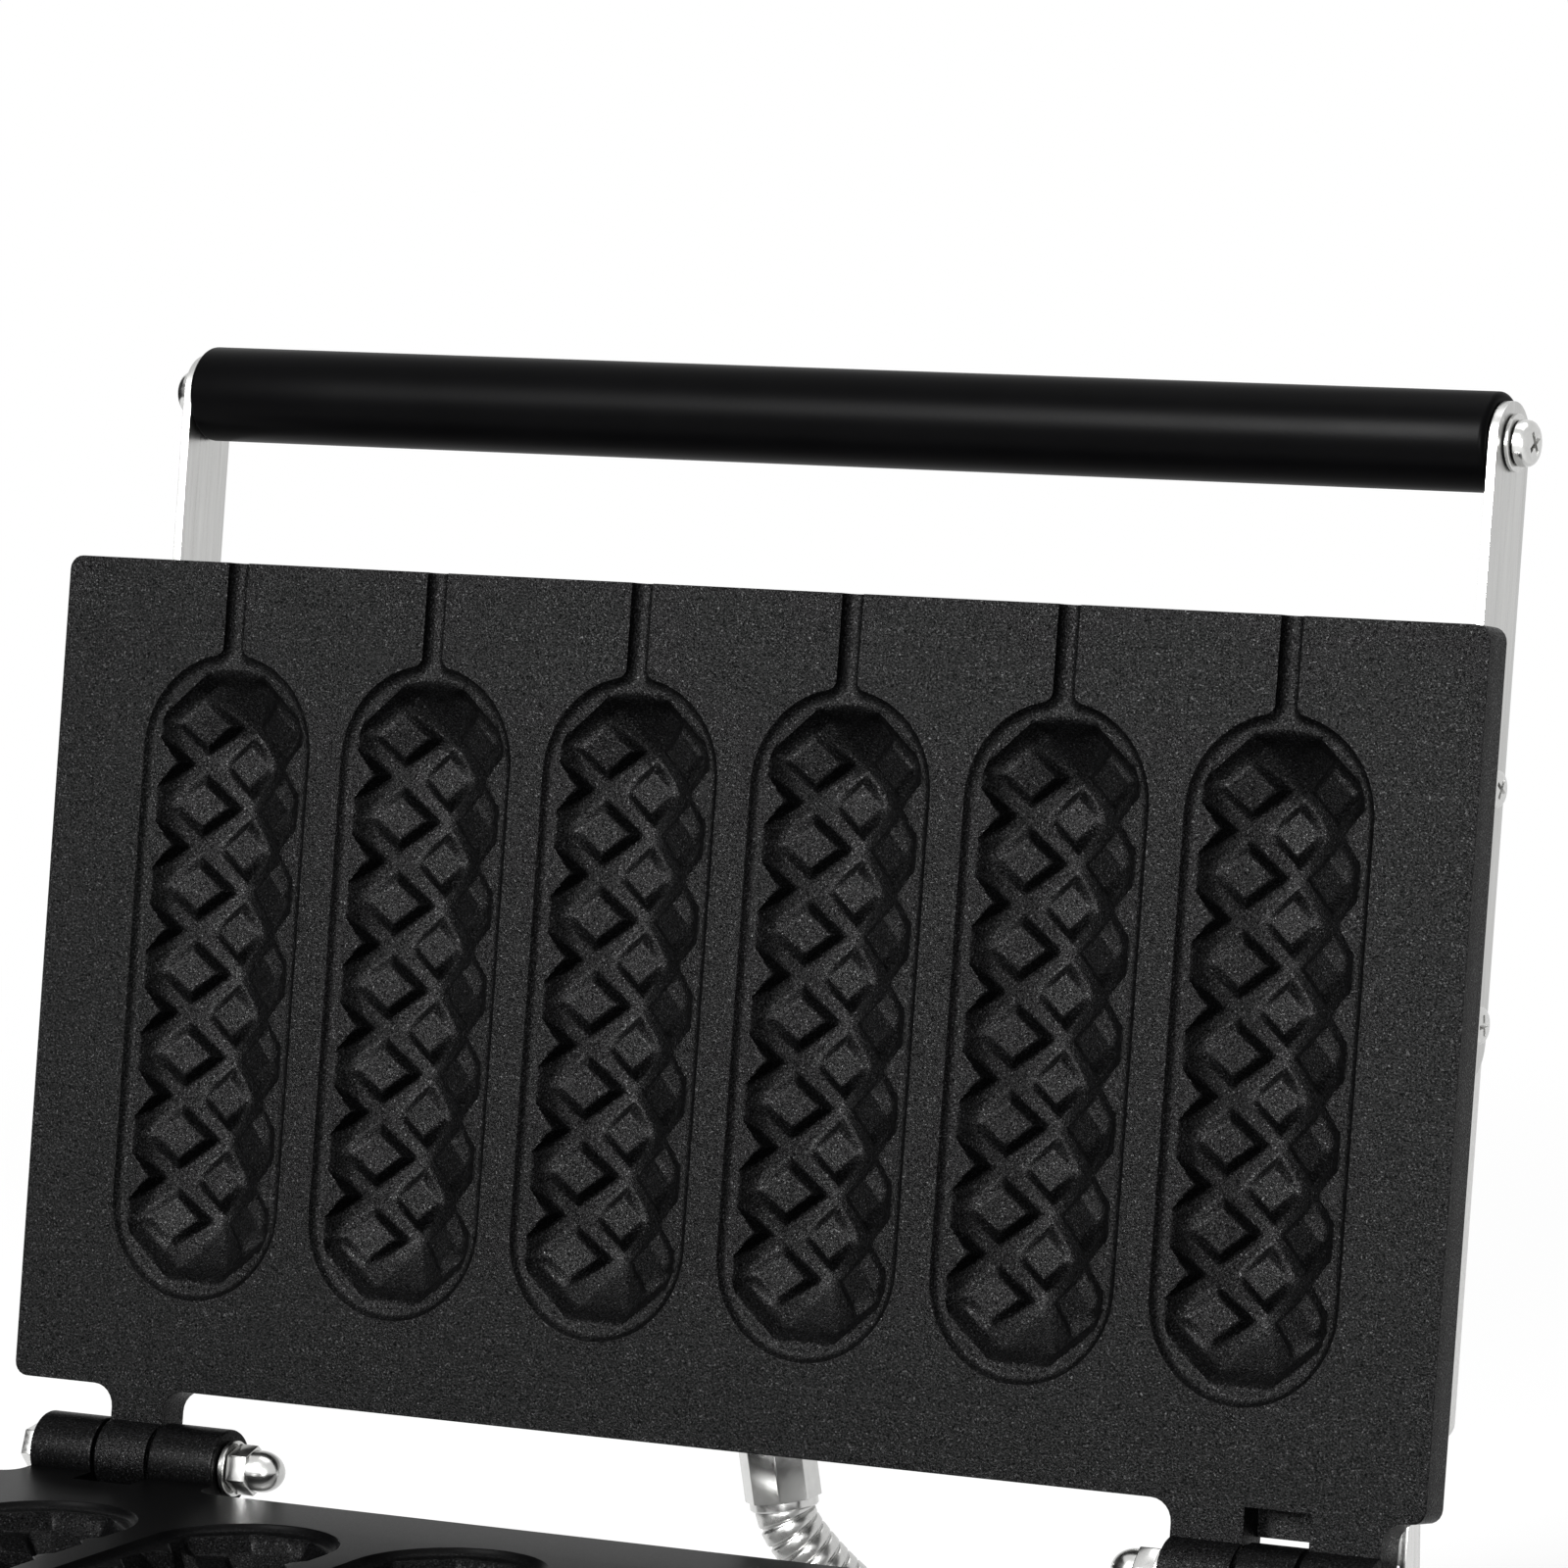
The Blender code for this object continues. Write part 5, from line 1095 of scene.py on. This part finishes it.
def makePanel():
    p = panel
    bm, marks = bmesh.new(), bmesh.new()
    addSlab(bm, [roundedBox(p["width"], p["height"], p["corner"])], 0, p["face"] - p["back"])
    softenSharp(bm, p["soft"])
    place = onBase(0, -p["back"], p["level"]) @ toFront
    finishPiece("controlPanel", bm, "panelPaint", "base", "control_panel", 40, place)
    for side, numbers, turn in p["dials"]:
        steps = (len(numbers) - 1) * p["parts"]
        for step in range(steps + 1):
            swing = Matrix.Rotation(-math.radians(turn * step / steps), 4, "Z")
            numbered = step % p["parts"] == 0
            half, start, end = p["longTick" if numbered else "shortTick"]
            place = onPanel(side * p["knobSide"], p["knobLevel"]) @ swing
            addBlock(marks, (-half, start, 0), (half, end, p["ink"]), place)
            if numbered:
                text, spot = numbers[step // p["parts"]], swing @ Vector((0, p["numberRing"], 0))
                middle = onPanel(side * p["knobSide"] + spot.x, p["knobLevel"] + spot.y)
                addNumber(marks, text, p["textSize" if len(text) == 1 else "smallText"], middle)
    finishPiece("dialMarks", marks, "dialWhite", "base", sharp=40)


knob = {
    "seat": 0.3,  # in front of the panel
    "skirt": (
        *((0, 0), (20.6, 0), (21, 0.4), (21, 2.4), (20.7, 3.1), (19.8, 3.65)),
        *((18.2, 4), (17.2, 4.4), (15.6, 4.6), (15.6, 4), (0, 4)),
    ),
    "grip": 17,
    "ends": (3.8, 16.8),
    "flutes": 20,
    "fluteDepth": 0.8,
    "soft": 1.1,
    "pointer": ((-1.5, -10.512, 15.8), (1.5, 14.6, 18.0)),
    "pointerSoft": 0.35,
    "line": ((-0.45, 5, 17.92), (0.45, 13.8, 18.02)),
}


# A knob with a round skirt, a fluted grip and a raised pointer with a white line
def makeKnob(side, node, name):
    k = knob
    place = onPanel(side * panel["knobSide"], panel["knobLevel"], k["seat"])
    bm, fluted, line = bmesh.new(), bmesh.new(), bmesh.new()
    addTurned(bm, k["skirt"], 96, place)
    ring, count = [], k["flutes"] * 8
    for step in range(count):
        angle = math.tau * step / count
        radius = k["grip"] - k["fluteDepth"] * max(math.cos(angle * k["flutes"]), 0) ** 2
        ring.append((radius * math.cos(angle), radius * math.sin(angle)))
    addSlab(fluted, [ring], *k["ends"])
    top = [edge for edge in fluted.edges if isSharp(edge, 60) and edge.verts[0].co.z > k["ends"][1] / 2 * mm]
    soften(fluted, top, k["soft"] * mm, 3)
    soften(fluted, edgesAt(addBlock(fluted, *k["pointer"])), k["pointerSoft"] * mm)
    bmesh.ops.transform(fluted, matrix=place, verts=fluted.verts)
    join(bm, fluted)
    keepNormals(finishPiece(name, bm, "blackPlastic", node, node, 35))
    addBlock(line, *k["line"], place)
    finishPiece(name + "Line", line, "dialWhite", node)


lamps = {
    "side": 22,
    "level": -42,
    "seat": 0.3,
    "ring": ((5, 0), (6.3, 0), (6.5, 0.2), (6.5, 1.0), (6.0, 1.5), (5.3, 1.5), (5, 1.1), (5, 0)),
    "barrel": [(0, -18), (4.8, -18), (4.8, 1.5)],
    "dome": (4.8, 1.5, 3.1, 8),
}


def makeLamp(side, name, finish, node):
    place, slot = onPanel(side * lamps["side"], lamps["level"], lamps["seat"]), recipes[finish][0]
    turnedPiece(name + "Ring", lamps["ring"], 48, place, "brightSteel", "base", None)
    turnedPiece(name, lamps["barrel"] + dome(*lamps["dome"]), 48, place, finish, "base", node, 40)


switch = {
    "level": -77, "seat": 0.3, "bezel": (19, 27, 2.0), "bezelCorner": 1.6, "bezelSoft": 0.6,
    "window": (13.7, 22.3, 0.4, 2), "case": (16.7, 24.6, 18), "well": 5,
    "rocker": (13, 20.4), "rise": 4, "dip": 1.5, "back": 1.0, "soft": 0.35, "tilt": 10,
    "marksAt": 0.58,  # share of the way from the rocker's middle to its end
    "on": ((-0.35, -1.8, -0.05), (0.35, 1.8, 0.06)),
    "off": ((1.3, -0.1), (1.9, -0.1), (1.9, 0.06), (1.3, 0.06), (1.3, -0.1)),
}


def makeSwitch():
    s = switch
    place = onPanel(0, s["level"], s["seat"])
    bm, case, rocker, marks = (bmesh.new() for index in range(4))
    wide, tall, thick = s["bezel"]
    inner = roundedBox(*s["window"])
    addSlab(bm, [roundedBox(wide, tall, s["bezelCorner"]), inner], 0, thick)

    def onRim(spot):
        return spot.z > mm and max(abs(spot.x) / wide, abs(spot.y) / tall) > 0.42 * mm

    rim = [edge for edge in bm.edges if isSharp(edge, 60) and all(onRim(vert.co) for vert in edge.verts)]
    soften(bm, rim, s["bezelSoft"] * mm, 3)
    wide, tall, deep = s["case"]
    addSlab(case, [roundedBox(wide, tall, 0.5, 2), inner], -s["well"], 0.2)
    addBlock(case, (-wide / 2, -tall / 2, -deep), (wide / 2, tall / 2, -s["well"]))
    join(bm, case)
    finishPiece("switchBody", bm, "blackPlastic", "base", "switch_body", 40, place)
    wide, half, rise, back, dip = s["rocker"][0] / 2, s["rocker"][1] / 2, s["rise"], -s["back"], s["dip"]
    outline = [(-half, back), (0, back - dip), (half, back)]
    for step in range(13):
        y = half - 2 * half * step / 12
        outline.append((y, rise - dip * (1 - (y / half) ** 2)))
    addSlab(rocker, [outline], -wide, wide, sideways)
    softenSharp(rocker, s["soft"], 55)
    place = place @ Matrix.Rotation(math.radians(s["tilt"]), 4, "X")
    finishPiece("rocker", rocker, "blackPlastic", "switch_rocker", "switch_rocker", 40, place)
    for kind, share in (("on", s["marksAt"]), ("off", -s["marksAt"])):
        level, lean = rise - dip * (1 - share**2), math.atan(2 * dip * share / half)
        spot = place @ Matrix.Translation((0, share * half * mm, level * mm)) @ Matrix.Rotation(lean, 4, "X")
        if kind == "on":
            addBlock(marks, *s["on"], spot)
        else:
            addTurned(marks, s["off"], 32, spot)
    finishPiece("rockerMarks", marks, "dialWhite", "switch_rocker")


rearFittings = {
    "gland": (-110, 4.3, -77),
    "glandFlats": 19,
    "glandHex": 6,
    "cap": [(0, 5.5), (9.3, 5.5), (9.4, 6.6)],
    "grooves": (6, 7.2, 1.5),  # how many, where the first starts, and their pitch
    "capEnd": [(8.6, 17), (7.2, 20.4), (6.5, 21.5), (6.0, 22), (3.5, 22), (3.5, 16), (0, 16)],
    "glandStem": ((0, -12), (6, -12), (6.4, -11.6), (6.4, 0.2), (0, 0.2)),
    "conduit": (110, 4.3, -70),
    "conduitLength": 18,
    "conduitStem": ((0, -5.5), (5.6, -5.5), (6, -5.1), (6, 0.2), (0, 0.2)),
}


def makeRearFittings():
    f = rearFittings
    gland, sleeve = bmesh.new(), bmesh.new()
    place = onBase(*f["gland"]) @ toRear
    addPrism(gland, f["glandFlats"], 0, f["glandHex"], 0.5, place)
    count, start, pitch = f["grooves"]
    cap = list(f["cap"])
    for height in (start + step * pitch for step in range(count)):
        cap += [(9.2, height), (8.7, height + 0.4), (9.0, height + 0.9)]
    addTurned(gland, cap + f["capEnd"], 60, place)
    addTurned(gland, f["glandStem"], 40, place)
    finishPiece("cableGland", gland, "blackPlastic", "base", "cable_gland", 35)
    place = onBase(*f["conduit"]) @ toRear
    addSleeve(sleeve, 0, f["conduitLength"], place)
    addTurned(sleeve, f["conduitStem"], 40, place)
    finishPiece("conduitFitting", sleeve, "brightSteel", "base", "conduit_base_fitting", 28)


studio = {
    "floor": 3.0,
    "white": 0.90,
    "sky": 0.22,
    "glow": (0.72, 1.0, 0.35, 1.6),  # the floor's share of pure white, and between which distances it changes
    "lamps": (
        ("keyLamp", (-0.64, -1.94, 1.34), (0.0, 0.05, 0.20), (0.40, 1.1), 160),
        ("fillLamp", (0.75, -1.90, 0.58), (0.0, 0.0, 0.2), (0.5, 0.5), 36),
        ("topLamp", (0.1, 0.3, 1.9), (0.0, 0.0, 0.12), (1.2, 1.2), 10),
    ),
    "flag": ((-1110, -1150, 0), (-1100, 600, 1300)),  # a dark card that keeps the left dark in reflections
}


# The rays that see the white studio: straight from the camera, off metal and through glass
def anyRay(tree):
    rays = newNode(tree, "ShaderNodeLightPath").outputs
    total = calculate(tree, "MAXIMUM", rays["Is Camera Ray"], rays["Is Glossy Ray"])
    return calculate(tree, "MAXIMUM", total, rays["Is Transmission Ray"])


def whiteGround():
    made, tree, shader = startFinish("studioWhite", (studio["white"],) * 3, 0.9, specular=0.0)
    place = newNode(tree, "ShaderNodeTexCoord").outputs["Object"]
    far = newNode(tree, "ShaderNodeVectorMath", {0: place}, operation="LENGTH").outputs["Value"]
    both = calculate(tree, "MULTIPLY", anyRay(tree), spread(tree, far, *studio["glow"]))
    glow = newNode(tree, "ShaderNodeEmission", {"Strength": 1.0}).outputs["Emission"]
    mixed = newNode(tree, "ShaderNodeMixShader", {"Fac": both, 1: shader.outputs["BSDF"], 2: glow})
    feed(tree.nodes["Material Output"], "Surface", mixed.outputs["Shader"])
    return made


def lightStudio():
    ground, card = bmesh.new(), bmesh.new()
    bmesh.ops.create_circle(ground, cap_ends=True, segments=96, radius=studio["floor"])
    toObject("studioFloor", ground, whiteGround())
    addBlock(card, *studio["flag"])
    flag = toObject("studioFlag", card, startFinish("studioBlack", (0.003, 0.003, 0.003), 1.0, specular=0.0)[0])
    flag.visible_camera = flag.visible_diffuse = flag.visible_shadow = flag.visible_transmission = False
    world = bpy.data.worlds.new("studioWorld")
    world.use_nodes = True
    scene.world = world
    back = world.node_tree.nodes["Background"]
    feed(back, "Color", (1, 1, 1))
    feed(back, "Strength", spread(world.node_tree, anyRay(world.node_tree), studio["sky"], 1.0))
    for name, place, aim, size, power in studio["lamps"]:
        lamp = bpy.data.lights.new(name, "AREA")
        lamp.shape = "RECTANGLE"
        lamp.size, lamp.size_y = size
        lamp.energy = power
        made = bpy.data.objects.new(name, lamp)
        scene.collection.objects.link(made)
        made.location = place
        made.rotation_euler = (Vector(aim) - Vector(place)).to_track_quat("-Z", "Y").to_euler()
    scene.view_settings.view_transform = "Standard"


placeCamera()
lightStudio()
print("camera and studio are placed")

oneCavity = makeCavity()
makePlate("upperPlate", oneCavity, upperFrame, -upperDrop, "upperCoating", "lid", "upper_plate")
makePlate("lowerPlate", oneCavity, lowerFrame, stance["faceDrop"], "lowerCoating", "base", "lower_plate")
print("cast plates are made")

for side, name in ((-1, "Left"), (1, "Right")):
    makeHinge(side, name)
    makeArm(side, name)
makeGrip()
makeCover()
makeConduit(*makeFerrule())
makeBracket()
print("hinges, arms, grip, cover and conduit are made")

makeHousing()
makeFeet()
makePanel()
makeKnob(-1, "timer_knob", "timerKnob")
makeKnob(1, "thermostat_knob", "thermostatKnob")
makeLamp(-1, "powerLamp", "greenLens", "power_lamp")
makeLamp(1, "heatingLamp", "redLens", "heating_lamp")
makeSwitch()
makeRearFittings()
print("base, controls and rear fittings are made")

# Finishes of the CAD nodes that stay
keptFinishes = {
    "baseSheet": ("base_bottom_cover", "lower_heat_shield", "lower_heater_clamp", "upper_heater_clamp"),
    "element": ("lower_heater", "upper_heater"),
    "wool": ("lower_insulation", "upper_insulation"),
    "ceramic": ("terminal_block", "timer_body", "thermostat_body"),
    "screwSteel": ("shield_screw_1", "shield_screw_2", "shield_screw_3", "shield_screw_4"),
    "blackPlastic": ("cable_gland_nut",),
}
for finish, nodes in keptFinishes.items():
    for node in nodes:
        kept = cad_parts[node]
        kept.data.materials.clear()
        kept.data.materials.append(finishes[finish])
